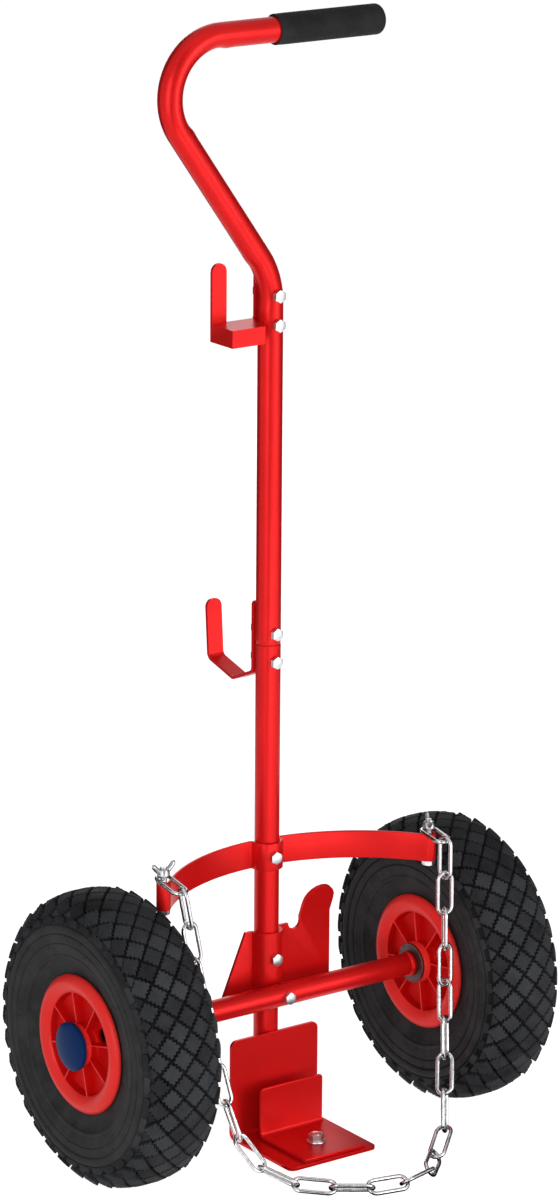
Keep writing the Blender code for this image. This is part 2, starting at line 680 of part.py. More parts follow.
def build_wheel(label, side):
    """One wheel on its end of the axle, held by a washer inside and a cap outside."""
    facing = Matrix.Rotation(side * pi / 2, 4, "Y")
    centre = AXLE_PLACE @ Matrix.Translation((side * WHEEL_TRACK / 2, 0, 0)) @ facing
    centre = centre @ Matrix.Rotation(WHEEL_TURNS[label], 4, "Z")
    rim = add("rim_" + label, rim_mesh(), red_plastic, centre)
    boolean(rim, add("ribs_" + label, rib_mesh(RIB_TURNS[label]), place=centre), "UNION")
    boolean(rim, add("rim_space_" + label, rim_space_mesh(), place=centre), "DIFFERENCE")
    between = RIB_TURNS[label] - VALVE_PLACE * 2 * pi / RIM_RIBS
    valve = centre @ Matrix.Translation((VALVE_CENTRE * cos(between), VALVE_CENTRE * sin(between), 0))
    boolean(rim, add("valve_" + label, prism_mesh(VALVE_HOLE, 0, RIM_WIDTH, 12), place=valve), "DIFFERENCE")
    add("tyre_" + label, tyre_mesh(), tyre_rubber, centre)
    outer_end = AXLE_PLACE @ Matrix.Translation((side * HUB_OUTER, 0, 0)) @ facing
    add("hub_cap_" + label, cap_mesh(), blue_plastic, outer_end)
    bore = AXLE_RADIUS + FIT
    ring = [(WASHER_RADIUS, -FIT), (WASHER_RADIUS, -FIT - WASHER_THICKNESS), (bore, -FIT - WASHER_THICKNESS),
            (bore, -FIT)]
    inner_end = AXLE_PLACE @ Matrix.Translation((side * HUB_INNER, 0, 0)) @ facing
    add("axle_washer_" + label, turned_mesh(ring, 24, closed=True), zinc, inner_end)


def build_lance_bracket():
    """A sheet that wraps the post's front, with a sloping left wing and a notched right wing with a lug."""
    wrap = saddle(PLATE_PLANE, SHEET_BEND, 16)
    path = [(-BRACKET_LEFT, SHEET_BEND)] + wrap + [(BRACKET_RIGHT, SHEET_BEND)]
    low = BRACKET_BOTTOM - BRACKET_TAB_DROP
    sheet = strip_mesh(path, LUG_CREASE - low, SHEET)
    bracket = add("lance_bracket", sheet, red_paint, Matrix.Translation((0, 0, (LUG_CREASE + low) / 2)))
    tab = PLATE_PLANE + SHEET / 2
    above = LUG_CREASE + SHEET
    outline = [
        (-tab, low - SHEET), (tab, low - SHEET), (tab, BRACKET_BOTTOM), (BRACKET_RIGHT + SHEET, BRACKET_BOTTOM),
        (BRACKET_RIGHT + SHEET, above), (NOTCH_CENTRE + NOTCH_RADIUS, above),
    ]
    outline += arc((NOTCH_CENTRE, BRACKET_TOP), NOTCH_RADIUS, 0, -pi, 8)
    outline += [(-BRACKET_LEFT_TOP, BRACKET_TOP), (-BRACKET_LEFT, BRACKET_BOTTOM), (-tab, BRACKET_BOTTOM)]
    depth = 4 * (PLATE_PLANE + SHEET)
    boolean(bracket, add("bracket_outline", plate_mesh(outline, depth), place=FRONT_VIEW), "INTERSECT")
    half = (BRACKET_RIGHT - NOTCH_CENTRE - NOTCH_RADIUS) / 2
    tip = arc((0, LUG_LENGTH - half), half, 0, pi, 10)
    lug = plate_mesh([(-half, -SHEET / 2), (half, -SHEET / 2)] + tip, SHEET)
    crease = Matrix.Translation((BRACKET_RIGHT - half, SHEET_BEND, LUG_CREASE))
    lean = crease @ Matrix.Rotation(LUG_LEAN, 4, "X") @ FRONT_VIEW
    boolean(bracket, add("bracket_lug", lug, place=lean), "UNION")
    boolean(bracket, bracket_drill, "DIFFERENCE")
    boolean(bracket, axle_drill, "DIFFERENCE")
    post_fastener("bracket", PLATE_PLANE + SHEET / 2 + FIT, BRACKET_BOLT_HEIGHT)


def strap_half():
    """The right half of the cradle strap's middle line, from the post to its rolled eye, and the eye's centre."""
    start = STRAP_SADDLE + STRAP_BEND
    first = asin(start / CRADLE_RADIUS)
    middle = STRAP_BEND - CRADLE_RADIUS * cos(first)
    arm = arc((0, middle), CRADLE_RADIUS, pi / 2 - first, pi / 2 - CRADLE_HALF_ANGLE, 14)
    out = Vector((sin(CRADLE_HALF_ANGLE), cos(CRADLE_HALF_ANGLE)))
    eye = Vector(arm[-1]) + EYE_RADIUS * out
    entry = atan2(-out.y, -out.x)
    return arm[1:] + arc(eye, EYE_RADIUS, entry, entry + EYE_ROLL, 14)[1:], eye


def end_link_height(label):
    """How high an end link's middle line lies at its bolt, clear of the strap although it droops forward."""
    droop = END_LINK_DROOPS[label]
    return STRAP_WIDTH / 2 + FIT + LINK_WIRE / cos(droop) + EYE_RADIUS * tan(droop)


def build_cradle():
    """The strap with a saddle at the post and a rolled eye at each end, each with a bolt and a wing nut."""
    half, eye = strap_half()
    mirrored = [(-x, y) for x, y in reversed(half)]
    path = mirrored + saddle(STRAP_SADDLE, STRAP_BEND, 16) + half
    strap = add("cradle_strap", strip_mesh(path, STRAP_WIDTH, STRAP_THICKNESS), red_paint, parent=cradle)
    boolean(strap, cradle_drill, "DIFFERENCE")
    post_fastener("cradle", STRAP_SADDLE + STRAP_THICKNESS / 2 + FIT, 0, cradle)
    head_seat = -STRAP_WIDTH / 2 - FIT
    for side, label in ((-1, "left"), (1, "right")):
        at = Matrix.Translation((side * eye.x, eye.y, 0))
        droop = END_LINK_DROOPS[label]
        nut_seat = end_link_height(label) + LINK_WIRE / cos(droop) + (LINK_REST + LINK_WIRE) * tan(droop) + FIT
        grip = nut_seat - head_seat + FIT + WING_BASE_HEIGHT + BOLT_PROTRUSION
        hex_bolt("eye_bolt_" + label, at @ Matrix.Translation((0, 0, head_seat)), grip, cradle)
        turned = at @ Matrix.Translation((0, 0, nut_seat)) @ Matrix.Rotation(WING_TURNS[label], 4, "Z")
        build_wing_nut(label, turned)


def build_wing_nut(label, place):
    """A wing nut: a round base with two ears that rise outwards."""
    nut = add("wing_nut_" + label, prism_mesh(WING_BASE_RADIUS, 0, WING_BASE_HEIGHT, 16), zinc, place, cradle)
    reach = WING_SPAN / 2
    ear = [(0, 2 * FIT), (WING_BASE_RADIUS, 2 * FIT), (reach, WING_RISE * 0.55), (reach, WING_RISE * 0.85)]
    ear += [(reach - WING_RISE * 0.15, WING_RISE), (reach - WING_RISE * 0.35, WING_RISE)]
    ear += [(WING_BASE_RADIUS * 0.8, WING_BASE_HEIGHT - FIT), (0, WING_BASE_HEIGHT - FIT)]
    outline = ear[1:-1] + [(-x, z) for x, z in reversed(ear[1:-1])]
    ears = add("wings_" + label, plate_mesh(outline, WING_THICKNESS), place=place @ FRONT_VIEW, parent=cradle)
    boolean(nut, ears, "UNION")
    bore = prism_mesh(BOLT_HOLE, -WING_RISE, 2 * WING_RISE, 12)
    boolean(nut, add("wing_bore_" + label, bore, place=place, parent=cradle), "DIFFERENCE")


def build_toe():
    """The bent toe plate before the post, and the smaller bottle stop bolted on it."""
    front = -(PLATE_PLANE + TOE_REACH)
    bend = [(-PLATE_PLANE, TOE_HEIGHT), (-PLATE_PLANE, SHEET / 2), (front, SHEET / 2)]
    plate = strip_mesh(filleted(bend, TOE_BEND, 6), TOE_WIDTH, SHEET)
    round_corners(plate, bend[0], TOE_WIDTH, TOE_CORNER)
    round_corners(plate, bend[-1], TOE_WIDTH, TOE_CORNER)
    toe = add("toe_plate", plate, red_paint, SIDE_VIEW)
    lift = STOP_FLOOR + SHEET / 2
    bend = [(-STOP_PLANE, STOP_FLOOR + STOP_HEIGHT), (-STOP_PLANE, lift), (front + STOP_INSET, lift)]
    angle = strip_mesh(filleted(bend, TOE_BEND, 6), STOP_WIDTH, SHEET)
    round_corners(angle, bend[0], STOP_WIDTH, STOP_CORNER)
    round_corners(angle, bend[-1], STOP_WIDTH, STOP_CORNER)
    stop = add("bottle_stop", angle, red_paint, Matrix.Translation((STOP_OFFSET, 0, 0)) @ SIDE_VIEW)

    nut_seat = STOP_FLOOR + SHEET + FIT
    top = nut_seat + STOP_FLANGE_HEIGHT + STOP_NUT_HEIGHT + BOLT_PROTRUSION
    neck = SHEET - STOP_BOLT_SINK / 2
    head = STOP_BOLT_RADIUS + neck
    place = Matrix.Translation(STOP_BOLT_AT)
    shape = [(0, top), (STOP_BOLT_RADIUS, top), (STOP_BOLT_RADIUS, neck), (head - FIT, FIT), (0, FIT)]
    add("stop_bolt", turned_mesh(shape, 16), zinc, place)
    room = [(0, top), (STOP_BOLT_RADIUS + FIT, top), (STOP_BOLT_RADIUS + FIT, neck + FIT),
            (head + neck + 2 * FIT, -neck), (0, -neck)]
    hole = add("stop_hole", turned_mesh(room, 16), place=place)
    boolean(toe, hole, "DIFFERENCE")
    boolean(stop, hole, "DIFFERENCE")
    seat = place @ Matrix.Translation((0, 0, nut_seat))
    flange = prism_mesh(STOP_FLANGE_RADIUS, 0, STOP_FLANGE_HEIGHT, 24)
    nut = add("stop_nut", flange, zinc, seat)
    body = prism_mesh(STOP_NUT_FLATS / sqrt(3), STOP_FLANGE_HEIGHT / 2, STOP_FLANGE_HEIGHT + STOP_NUT_HEIGHT, 6)
    boolean(nut, add("stop_nut_body", body, place=seat), "UNION")
    boolean(nut, hole, "DIFFERENCE")


def finish_hook(hook, label, heights, drills):
    """Weld nuts behind a hook's leg, its bolt holes, and its two bolts through the post."""
    rear = PLATE_PLANE + SHEET / 2
    for height, cutter, index in zip(heights, drills, (1, 2)):
        place = Matrix.Translation((0, rear, height)) @ ALONG_Y
        nut = prism_mesh(HEX_RADIUS, -SHEET / 2, NUT_HEIGHT, 6)
        boolean(hook, add("weld_nut_" + label, nut, place=place), "UNION")
        boolean(hook, cutter, "DIFFERENCE")
        front = POST_RADIUS + FIT
        grip = front + rear + NUT_HEIGHT + BOLT_PROTRUSION
        seat = Matrix.Translation((0, -front, height)) @ ALONG_Y
        hex_bolt("%s_hook_bolt_%d" % (label, index), seat, grip)


def build_upper_hook():
    """A folded shelf left of the post: a leg and a finger rise at its rear, and skirts hang left and front."""
    half = HOOK_WIDTH / 2
    left = -UPPER_HOOK_LEFT
    skirt = UPPER_HOOK_PLATE - UPPER_HOOK_SKIRT
    finger = UPPER_FINGER_WIDTH / 2
    tip = arc((left + finger, UPPER_HOOK_PLATE + UPPER_FINGER_RISE - finger), finger, 0, pi, 8)
    corner = HOOK_LEG_CORNER
    crown = arc((half - corner, UPPER_HOOK_TOP - corner), corner, 0, pi / 2, 4)
    crown += arc((corner - half, UPPER_HOOK_TOP - corner), corner, pi / 2, pi, 4)
    outline = [(left, skirt), (half, skirt)] + crown + [(-half, UPPER_HOOK_PLATE)]
    outline += [(left + 2 * finger, UPPER_HOOK_PLATE)] + tip
    rear = Matrix.Translation((0, PLATE_PLANE, 0)) @ FRONT_VIEW
    hook = add("upper_hook", plate_mesh(outline, SHEET), red_paint, rear)
    front = PLATE_PLANE - UPPER_HOOK_DEPTH
    clear = arc((0, 0), POST_RADIUS + 2 * FIT, radians(130), radians(205), 8)
    shelf = [(left, PLATE_PLANE), (-half, PLATE_PLANE)] + clear
    shelf += [(-UPPER_HOOK_FRONT_END, front), (left, front)]
    level = Matrix.Translation((0, 0, UPPER_HOOK_PLATE - SHEET / 2))
    boolean(hook, add("hook_shelf", plate_mesh(shelf, SHEET), place=level), "UNION")
    skirts = [((left, front - SHEET / 2, skirt), (-UPPER_HOOK_FRONT_END, front + SHEET / 2, UPPER_HOOK_PLATE)),
              ((left, front - SHEET / 2, skirt), (left + SHEET, PLATE_PLANE, UPPER_HOOK_PLATE))]
    for low, high in skirts:
        boolean(hook, add("hook_skirt", box_mesh(low, high)), "UNION")
    finish_hook(hook, "upper", upper_bolts, upper_drills)


def build_lower_hook():
    """A flat strap behind the post, bent back through a shallow valley and up into a finger."""
    base = (PLATE_PLANE + LOWER_HOOK_REACH, LOWER_HOOK_BEND - LOWER_HOOK_BASE_DROP)
    tip = (base[0] + LOWER_FINGER_RISE * sin(LOWER_FINGER_LEAN), base[1] + LOWER_FINGER_RISE * cos(LOWER_FINGER_LEAN))
    valley = (PLATE_PLANE + LOWER_HOOK_VALLEY_REACH, LOWER_HOOK_BEND - LOWER_HOOK_VALLEY_DROP)
    bends = [(PLATE_PLANE, LOWER_HOOK_TOP), (PLATE_PLANE, LOWER_HOOK_BEND), valley, base, tip]
    strap = strip_mesh(filleted(bends, HOOK_BEND_RADIUS, 5), HOOK_WIDTH, SHEET)
    round_corners(strap, bends[0], HOOK_WIDTH, HOOK_LEG_CORNER)
    round_corners(strap, tip, HOOK_WIDTH, FINGER_TIP_RADIUS)
    hook = add("lower_hook", strap, red_paint, SIDE_VIEW)
    finish_hook(hook, "lower", lower_bolts, lower_drills)


def link_mesh():
    """One chain link: a welded wire loop, long along local X and flat in local XY."""
    straight = LINK_INSIDE / 2 + LINK_WIRE - LINK_HALF
    loop = arc((straight, 0), LINK_HALF, -pi / 2, pi / 2, LINK_END_STEPS)
    loop += arc((-straight, 0), LINK_HALF, pi / 2, 3 * pi / 2, LINK_END_STEPS)
    path = curve_object([(x, y, 0) for x, y in loop], cyclic=True)
    path.data.bevel_depth = LINK_WIRE
    path.data.bevel_resolution = 1
    return baked(path)


def chain_route():
    """The rough route between the eyes. Where these are closer, it is drawn out forwards and keeps its length."""
    given = [Vector(point) for point in CHAIN_ROUTE]
    rear = max(point.y for point in given)
    squeeze = EYE_SPREAD / ROUTE_SPREAD
    least, most = 0.5, 2.0
    while most - least > FIT ** 3:
        draw = (least + most) / 2
        drawn = [Vector((point.x * squeeze, rear + (point.y - rear) * draw, point.z)) for point in given]
        if route_length(drawn) < route_length(given):
            least = draw
        else:
            most = draw
    return drawn


def chain_joints(first, last):
    """The chain's joints, eased from its rough route until each link is exactly one pitch long."""
    joints = [first] + chain_route() + [last]
    for turn in range(RELAX_ROUNDS):
        if turn < EASE_ROUNDS:
            for i in range(1, len(joints) - 1):
                joints[i] = joints[i].lerp((joints[i - 1] + joints[i + 1]) / 2, EASE)
        for i in range(len(joints) - 1):
            span = joints[i + 1] - joints[i]
            push = span * (1 - LINK_PITCH / span.length) / 2
            joints[i] = joints[i] + push
            joints[i + 1] = joints[i + 1] - push
        for joint in joints:
            joint.z = max(joint.z, CHAIN_FLOOR)
        joints[0] = first.copy()
        joints[-1] = last.copy()
    return joints


def link_place(start, end, face):
    """A link's placement between two joints, with its width turned as its face says."""
    compass = radians(face[0])
    rise = radians(face[1])
    width = Vector((cos(rise) * cos(compass), cos(rise) * sin(compass), sin(rise)))
    along = (end - start).normalized()
    flat = along.cross(width).normalized()
    frame = Matrix((along, flat.cross(along), flat)).transposed().to_4x4()
    return Matrix.Translation((start + end) / 2) @ frame


def build_chain():
    """End links held under the wing nuts, and the slack chain between them on its swing axis."""
    eye = strap_half()[1]
    shared = link_mesh()
    hang = {}
    for side, label in ((-1, "left"), (1, "right")):
        bolt = Matrix.Translation((side * eye.x, eye.y, end_link_height(label)))
        aim = Matrix.Rotation(END_LINK_TURNS[label], 4, "Z") @ Matrix.Rotation(END_LINK_DROOPS[label], 4, "X")
        ahead = LINK_INSIDE / 2 - LINK_REST
        place = bolt @ aim @ Matrix.Translation((0, -ahead, 0)) @ Matrix.Rotation(pi / 2, 4, "Z")
        add("chain_end_" + label, shared, zinc, place, cradle)
        far_wire = bolt @ aim @ Vector((0, -ahead - LINK_INSIDE / 2 - LINK_WIRE, 0))
        hang[label] = cradle.matrix_world @ far_wire
    swing = bpy.data.objects.new("chain_swing", None)
    parts.objects.link(swing)
    swing.location = hang["left"]
    over = UP * (LINK_WIRE + LINK_SLACK / 2)
    joints = chain_joints(hang["left"] + over, hang["right"] + over)
    for index, face in enumerate(CHAIN_FACES):
        place = Matrix.Translation(-hang["left"]) @ link_place(joints[index], joints[index + 1], face)
        add("chain_link_%02d" % (index + 1), shared, zinc, place, swing)


build_lower_tube()
build_upper_tube()
build_hand_grip()
build_axle()
build_wheel("left", -1)
build_wheel("right", 1)
build_lance_bracket()
build_cradle()
build_toe()
build_upper_hook()
build_lower_hook()
build_chain()
bpy.context.view_layer.update()
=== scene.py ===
"""Looks for the gas cylinder cart: each piece is made in detail and put in the place of its CAD node.

X runs along the axle, -Y is the cylinder side and Z is up. Lengths are in metres.
"""
from math import asin, atan2, cos, pi, radians, sin, sqrt, tan

import bmesh
import bpy
import numpy as np
from mathutils import Matrix, Vector


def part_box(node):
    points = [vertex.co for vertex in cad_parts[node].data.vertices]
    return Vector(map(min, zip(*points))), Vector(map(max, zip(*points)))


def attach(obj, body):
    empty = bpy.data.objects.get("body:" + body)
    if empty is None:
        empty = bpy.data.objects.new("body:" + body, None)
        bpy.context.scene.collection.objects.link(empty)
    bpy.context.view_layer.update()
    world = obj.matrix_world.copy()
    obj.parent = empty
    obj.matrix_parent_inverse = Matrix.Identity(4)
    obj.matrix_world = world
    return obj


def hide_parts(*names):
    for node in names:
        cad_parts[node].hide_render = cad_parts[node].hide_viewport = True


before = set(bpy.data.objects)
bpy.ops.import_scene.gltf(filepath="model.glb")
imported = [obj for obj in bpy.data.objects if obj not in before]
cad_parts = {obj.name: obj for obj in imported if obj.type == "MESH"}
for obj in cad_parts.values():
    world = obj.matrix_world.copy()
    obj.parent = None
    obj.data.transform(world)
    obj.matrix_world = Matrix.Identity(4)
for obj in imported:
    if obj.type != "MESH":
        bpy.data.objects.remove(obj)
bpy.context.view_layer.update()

# Camera: a long lens on the cart's left front, looking slightly down, so that the two wheels
# keep almost the same size. The lens is fitted to a picture of 559 by 1200.
view_yaw = -0.625257
view_pitch = 0.275683
view_roll = 0.0074428
view_from = Vector((-2.3098, -3.2160, 1.6058))
view_back = Vector((sin(view_yaw) * cos(view_pitch), -cos(view_yaw) * cos(view_pitch), sin(view_pitch)))
level_right = Vector((cos(view_yaw), sin(view_yaw), 0))
level_up = view_back.cross(level_right)
view_right = level_right * cos(view_roll) + level_up * sin(view_roll)
view_up = level_up * cos(view_roll) - level_right * sin(view_roll)
camera_data = bpy.data.cameras.new("camera")
camera_data.sensor_fit = "VERTICAL"
camera_data.sensor_height = 36
camera_data.lens = 142.715
camera_data.clip_end = 60
camera = bpy.data.objects.new("camera", camera_data)
camera.matrix_world = Matrix.Translation(view_from) @ Matrix(
    (view_right, view_up, view_back)).transposed().to_4x4()
bpy.context.scene.collection.objects.link(camera)
bpy.context.scene.camera = camera
bpy.context.scene.view_settings.view_transform = "Standard"


# Studio: a white floor and a white room with five soft boxes, and dark cards that only mirror rays
# see; the small card on the floor by the toe plate is painted shade. Camera and mirror rays see plain
# white, while the light on the cart stays at a plain level.
class Wire:
    """A node socket that takes part in sums: each operator adds a Math node."""

    def __init__(self, tree, socket=None):
        self.tree = tree
        self.socket = socket

    def feed(self, socket, value):
        """Link a wire to a socket, or set a plain value on it."""
        if isinstance(value, Wire):
            self.tree.links.new(value.socket, socket)
        else:
            socket.default_value = value

    def node(self, kind, settings=None, sockets=None, out=0):
        """Add a node: its settings come first, then the values or links of its sockets."""
        made = self.tree.nodes.new("ShaderNode" + kind)
        for label, value in (settings or {}).items():
            setattr(made, label, value)
        for label, value in (sockets or {}).items():
            self.feed(made.inputs[label], value)
        return Wire(self.tree, made.outputs[out])

    def math(self, operation, *values):
        return self.node("Math", {"operation": operation}, dict(enumerate(values)))

    def __add__(self, other):
        return self.math("ADD", self, other)

    def __sub__(self, other):
        return self.math("SUBTRACT", self, other)

    def __rsub__(self, other):
        return self.math("SUBTRACT", other, self)

    def __mul__(self, other):
        return self.math("MULTIPLY", self, other)

    __radd__ = __add__
    __rmul__ = __mul__

    def between(self, low, high):
        """0 below low and 1 above high, with a smooth step between them."""
        return self.node("MapRange", {"interpolation_type": "SMOOTHSTEP"},
                         {"Value": self, "From Min": low, "From Max": high})

    def blend(self, first, second):
        """A colour between two others, by this share of the second."""
        return self.node("Mix", {"data_type": "RGBA"}, {0: self, 6: first, 7: second}, out=2)

    def noise(self, scale, detail=2.0, roughness=0.5):
        """Even noise at these coordinates."""
        return self.node("TexNoise", {}, {"Vector": self, "Scale": scale, "Detail": detail,
                                          "Roughness": roughness})

    def bump(self, distance, strength):
        """A surface normal from this height."""
        return self.node("Bump", {}, {"Height": self, "Distance": distance, "Strength": strength})

    def rise(self):
        """The Z of these coordinates."""
        return self.node("SeparateXYZ", {}, {0: self}, out="Z")

    def off_axis(self):
        """How far these coordinates are from the Z axis."""
        flat = self.node("VectorMath", {"operation": "MULTIPLY"}, {0: self, 1: (1, 1, 0)})
        return self.node("VectorMath", {"operation": "LENGTH"}, {0: flat}, out="Value")


def seen_directly(start):
    """1 for rays from the camera, a mirror or a lens, and 0 for the light that is scattered."""
    kinds = ("Is Camera Ray", "Is Glossy Ray", "Is Transmission Ray")
    flags = [start.node("LightPath", out=kind) for kind in kinds]
    return flags[0] + flags[1] + flags[2]


def new_look(name, **even):
    """A Principled material with its even values set, and the wire that its nodes start from."""
    made = bpy.data.materials.new(name)
    made.use_nodes = True
    shader = made.node_tree.nodes["Principled BSDF"]
    for label, value in even.items():
        shader.inputs[label.replace("_", " ").title().replace("Ior", "IOR")].default_value = value
    return made, shader, Wire(made.node_tree)


def flat_sheet(name, width, height, look, spot, towards):
    """A flat sheet of the studio, with its face turned towards a point."""
    mesh = bpy.data.meshes.new(name)
    corners = [(x * width / 2, y * height / 2, 0) for x, y in ((-1, -1), (1, -1), (1, 1), (-1, 1))]
    mesh.from_pydata(corners, [], [(0, 1, 2, 3)])
    mesh.materials.append(look)
    sheet = bpy.data.objects.new(name, mesh)
    sheet.location = spot
    sheet.rotation_euler = (towards - spot).to_track_quat("Z", "Y").to_euler()
    bpy.context.scene.collection.objects.link(sheet)
    return sheet


room_light = 0.42
overhead_loss = 0.80
room = bpy.data.worlds.new("room")
room.use_nodes = True
room_start = Wire(room.node_tree)
room_shader = room.node_tree.nodes["Background"]
room_shader.inputs["Color"].default_value = (1, 1, 1, 1)
room_way = room_start.node("TexCoord", out="Generated")
room_level = room_light * (1 - overhead_loss * room_way.rise().between(0.15, 0.70))
room_seen = seen_directly(room_start)
room_start.feed(room_shader.inputs["Strength"], room_seen + (1 - room_seen) * room_level)
bpy.context.scene.world = room

floor_glow = 0.88
floor_span = 18
floor_drop = 0.0004
floor_look, floor_shader, floor_start = new_look(
    "floor", base_color=(0.86, 0.86, 0.86, 1), roughness=1, specular_ior_level=0,
    emission_strength=floor_glow)
floor_start.feed(floor_shader.inputs["Emission Color"], seen_directly(floor_start))
floor_place = Vector((0, 0, -floor_drop))
floor = flat_sheet("floor", floor_span, floor_span, floor_look, floor_place, Vector((0, 0, 1)))

cart_middle = Vector((0, -0.03, 0.45))
for label, spot, width, height, power in (
        ("left_box", Vector((-2.3, -1.9, 0.9)), 2.0, 2.0, 40),
        ("right_box", Vector((1.2, -2.9, 0.9)), 1.2, 1.8, 36),
        ("low_box", Vector((-0.20, -1.00, 0.14)), 0.8, 0.25, 1.8),
        ("top_box", Vector((-0.3, -0.9, 3.2)), 2.2, 2.2, 3),
        ("back_box", Vector((0.9, 2.7, 1.1)), 1.6, 1.8, 14)):
    lamp_data = bpy.data.lights.new(label, "AREA")
    lamp_data.shape = "RECTANGLE"
    lamp_data.size = width
    lamp_data.size_y = height
    lamp_data.energy = power
    lamp = bpy.data.objects.new(label, lamp_data)
    lamp.location = spot
    lamp.rotation_euler = (cart_middle - spot).to_track_quat("-Z", "Y").to_euler()
    bpy.context.scene.collection.objects.link(lamp)

card_look = new_look("dark_card", base_color=(0.012, 0.012, 0.012, 1), roughness=1, specular_ior_level=0)[0]
card_height = 2.2
card_middle = Vector((0, 0, card_height / 2))
view_side = atan2(view_from.y, view_from.x)
card_spots = []
for label, side, away, width in (("front_card", 4, 1.1, 0.55), ("right_card", 130, 1.2, 1.5),
                                 ("back_card", -130, 1.2, 1.5)):
    turn = view_side + radians(side)
    spot = card_middle + away * Vector((cos(turn), sin(turn), 0))
    card_spots.append((label, spot, card_middle, width, card_height))
# Painted shade: a dark card by the toe plate stands for the cart's shadow on the floor, as the plate and the
# stop mirror it.
shade_spot = Vector((0.07, -0.20, 0.0002))
card_spots.append(("floor_shade_card", shade_spot, shade_spot + Vector((0, 0, 1)), 0.30, 0.22))
for label, spot, target, width, height in card_spots:
    card = flat_sheet(label, width, height, card_look, spot, target)
    card.visible_camera = False
    card.visible_diffuse = False
    card.visible_shadow = False

# Post: two lengths of 22 mm steel tube that plug together at a seam, powder coated red. The upper
# one is bent cold, which flattens it a little inside both bends and leaves a crease where each ends.
FIT = 0.0003
POST_RADIUS = 0.011
SEAM_HEIGHT = 0.447
LOWER_BEND_HEIGHT = 0.771
LOWER_BEND_RADIUS = 0.070
UPPER_BEND_RADIUS = 0.050
HANDLE_LEAN = radians(35.6)
HANDLE_HEIGHT = 0.9815
HANDLE_REACH = 0.107
BEND_EASE = 0.0025
CREASE_OFF = 0.005
CREASE_BREADTH = 0.004
TUBE_STEPS = 40


def painted(name, bright, deep, shine, metal):
    """A glossy coat with a slow drift of colour and a fine orange peel; metal flake tints its reflections."""
    made, shader, start = new_look(name, specular_ior_level=shine, metallic=metal)
    place = start.node("TexCoord", out="Object")
    drift = place.noise(14, 2.0)
    peel = place.noise(620, 1.0)
    start.feed(shader.inputs["Base Color"], drift.between(0.35, 0.65).blend(bright, deep))
    start.feed(shader.inputs["Roughness"], 0.24 + 0.14 * drift)
    start.feed(shader.inputs["Normal"], peel.bump(0.0002, 0.16))
    return made


def grid(points, wrap_rows, wrap_columns):
    """Vertices and faces of a net of points, in rows and columns that may close on themselves."""
    points = np.asarray(points, float)
    rows, columns = points.shape[:2]
    index = np.arange(rows * columns).reshape(rows, columns)
    if wrap_rows:
        index = np.vstack([index, index[:1]])
    if wrap_columns:
        index = np.hstack([index, index[:, :1]])
    corners = (index[:-1, :-1], index[:-1, 1:], index[1:, 1:], index[1:, :-1])
    faces = np.stack(corners, axis=2).reshape(-1, 4)
    return points.reshape(-1, 3), faces.tolist()


def turned(profile, steps, closed=False):
    """A shape turned about local Z from (radius, height) points."""
    profile = np.array(profile, float)
    turns = 2 * pi * np.arange(steps) / steps
    x = np.outer(np.cos(turns), profile[:, 0])
    y = np.outer(np.sin(turns), profile[:, 0])
    z = np.tile(profile[:, 1], (steps, 1))
    return grid(np.stack([x, y, z], axis=2), True, closed)


def swept(path, square, section, closed=False):
    """A section drawn along a flat path: its first number runs across the path in the path's plane, and
    its second along the direction square to that plane. An open path is closed at both ends."""
    path = np.asarray(path, float)
    square = np.asarray(square, float)
    if closed:
        along = np.roll(path, -1, axis=0) - np.roll(path, 1, axis=0)
    else:
        along = np.gradient(path, axis=0)
    along /= np.linalg.norm(along, axis=1)[:, None]
    across = np.cross(square, along)
    section = np.broadcast_to(section, (len(path),) + np.shape(section)[-2:])
    rings = path[:, None] + section[:, :, :1] * across[:, None] + section[:, :, 1:] * square
    if not closed:
        ends = [np.repeat(path[i][None, None], rings.shape[1], axis=1) for i in (0, -1)]
        rings = np.concatenate([ends[0], rings, ends[1]])
    return grid(rings, closed, True)


def moved(shape, place):
    """A shape in another place."""
    points = np.asarray(shape[0]) @ np.array(place.to_3x3()).T + np.array(place.translation)
    return points, shape[1]


def closed_mesh(name, shapes, tones=None):
    """One mesh from closed shapes, with its seams welded and its faces turned outwards. A tone for each shape
    goes on its points."""
    points = []
    faces = []
    for corners, sides in shapes:
        first = len(points)
        points.extend(np.asarray(corners).tolist())
        faces.extend([first + i for i in side] for side in sides)
    mesh = bpy.data.meshes.new(name)
    mesh.from_pydata(points, [], faces)
    if tones is not None:
        marks = mesh.attributes.new("tone", "FLOAT", "POINT")
        marks.data.foreach_set("value", np.repeat(tones, [len(corners) for corners, sides in shapes]))
    work = bmesh.new()
    work.from_mesh(mesh)
    bmesh.ops.remove_doubles(work, verts=work.verts, dist=0.0000005)
    bmesh.ops.recalc_face_normals(work, faces=work.faces)
    work.to_mesh(mesh)
    work.free()
    return mesh


def piece(name, shapes, look, body, nodes, place=Matrix.Identity(4)):
    """One object from closed shapes, on a body, in the place of the CAD nodes that it stands for."""
    placed(name, closed_mesh(name, shapes), look, body, nodes, place)


def placed(name, mesh, look, body, nodes, place=Matrix.Identity(4), sharp=32):
    """Give a mesh its look and set it on its body."""
    mesh.materials.clear()
    mesh.materials.append(look)
    mesh.shade_smooth()
    mesh.set_sharp_from_angle(angle=radians(sharp))
    made = bpy.data.objects.new(name, mesh)
    bpy.context.scene.collection.objects.link(made)
    made.matrix_world = place
    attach(made, body)
    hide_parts(*nodes)


def arc(centre, radius, start, end, steps):
    """Points on a circular arc, both ends included."""
    turns = np.linspace(start, end, steps + 1)
    return [(centre[0] + radius * cos(turn), centre[1] + radius * sin(turn)) for turn in turns]


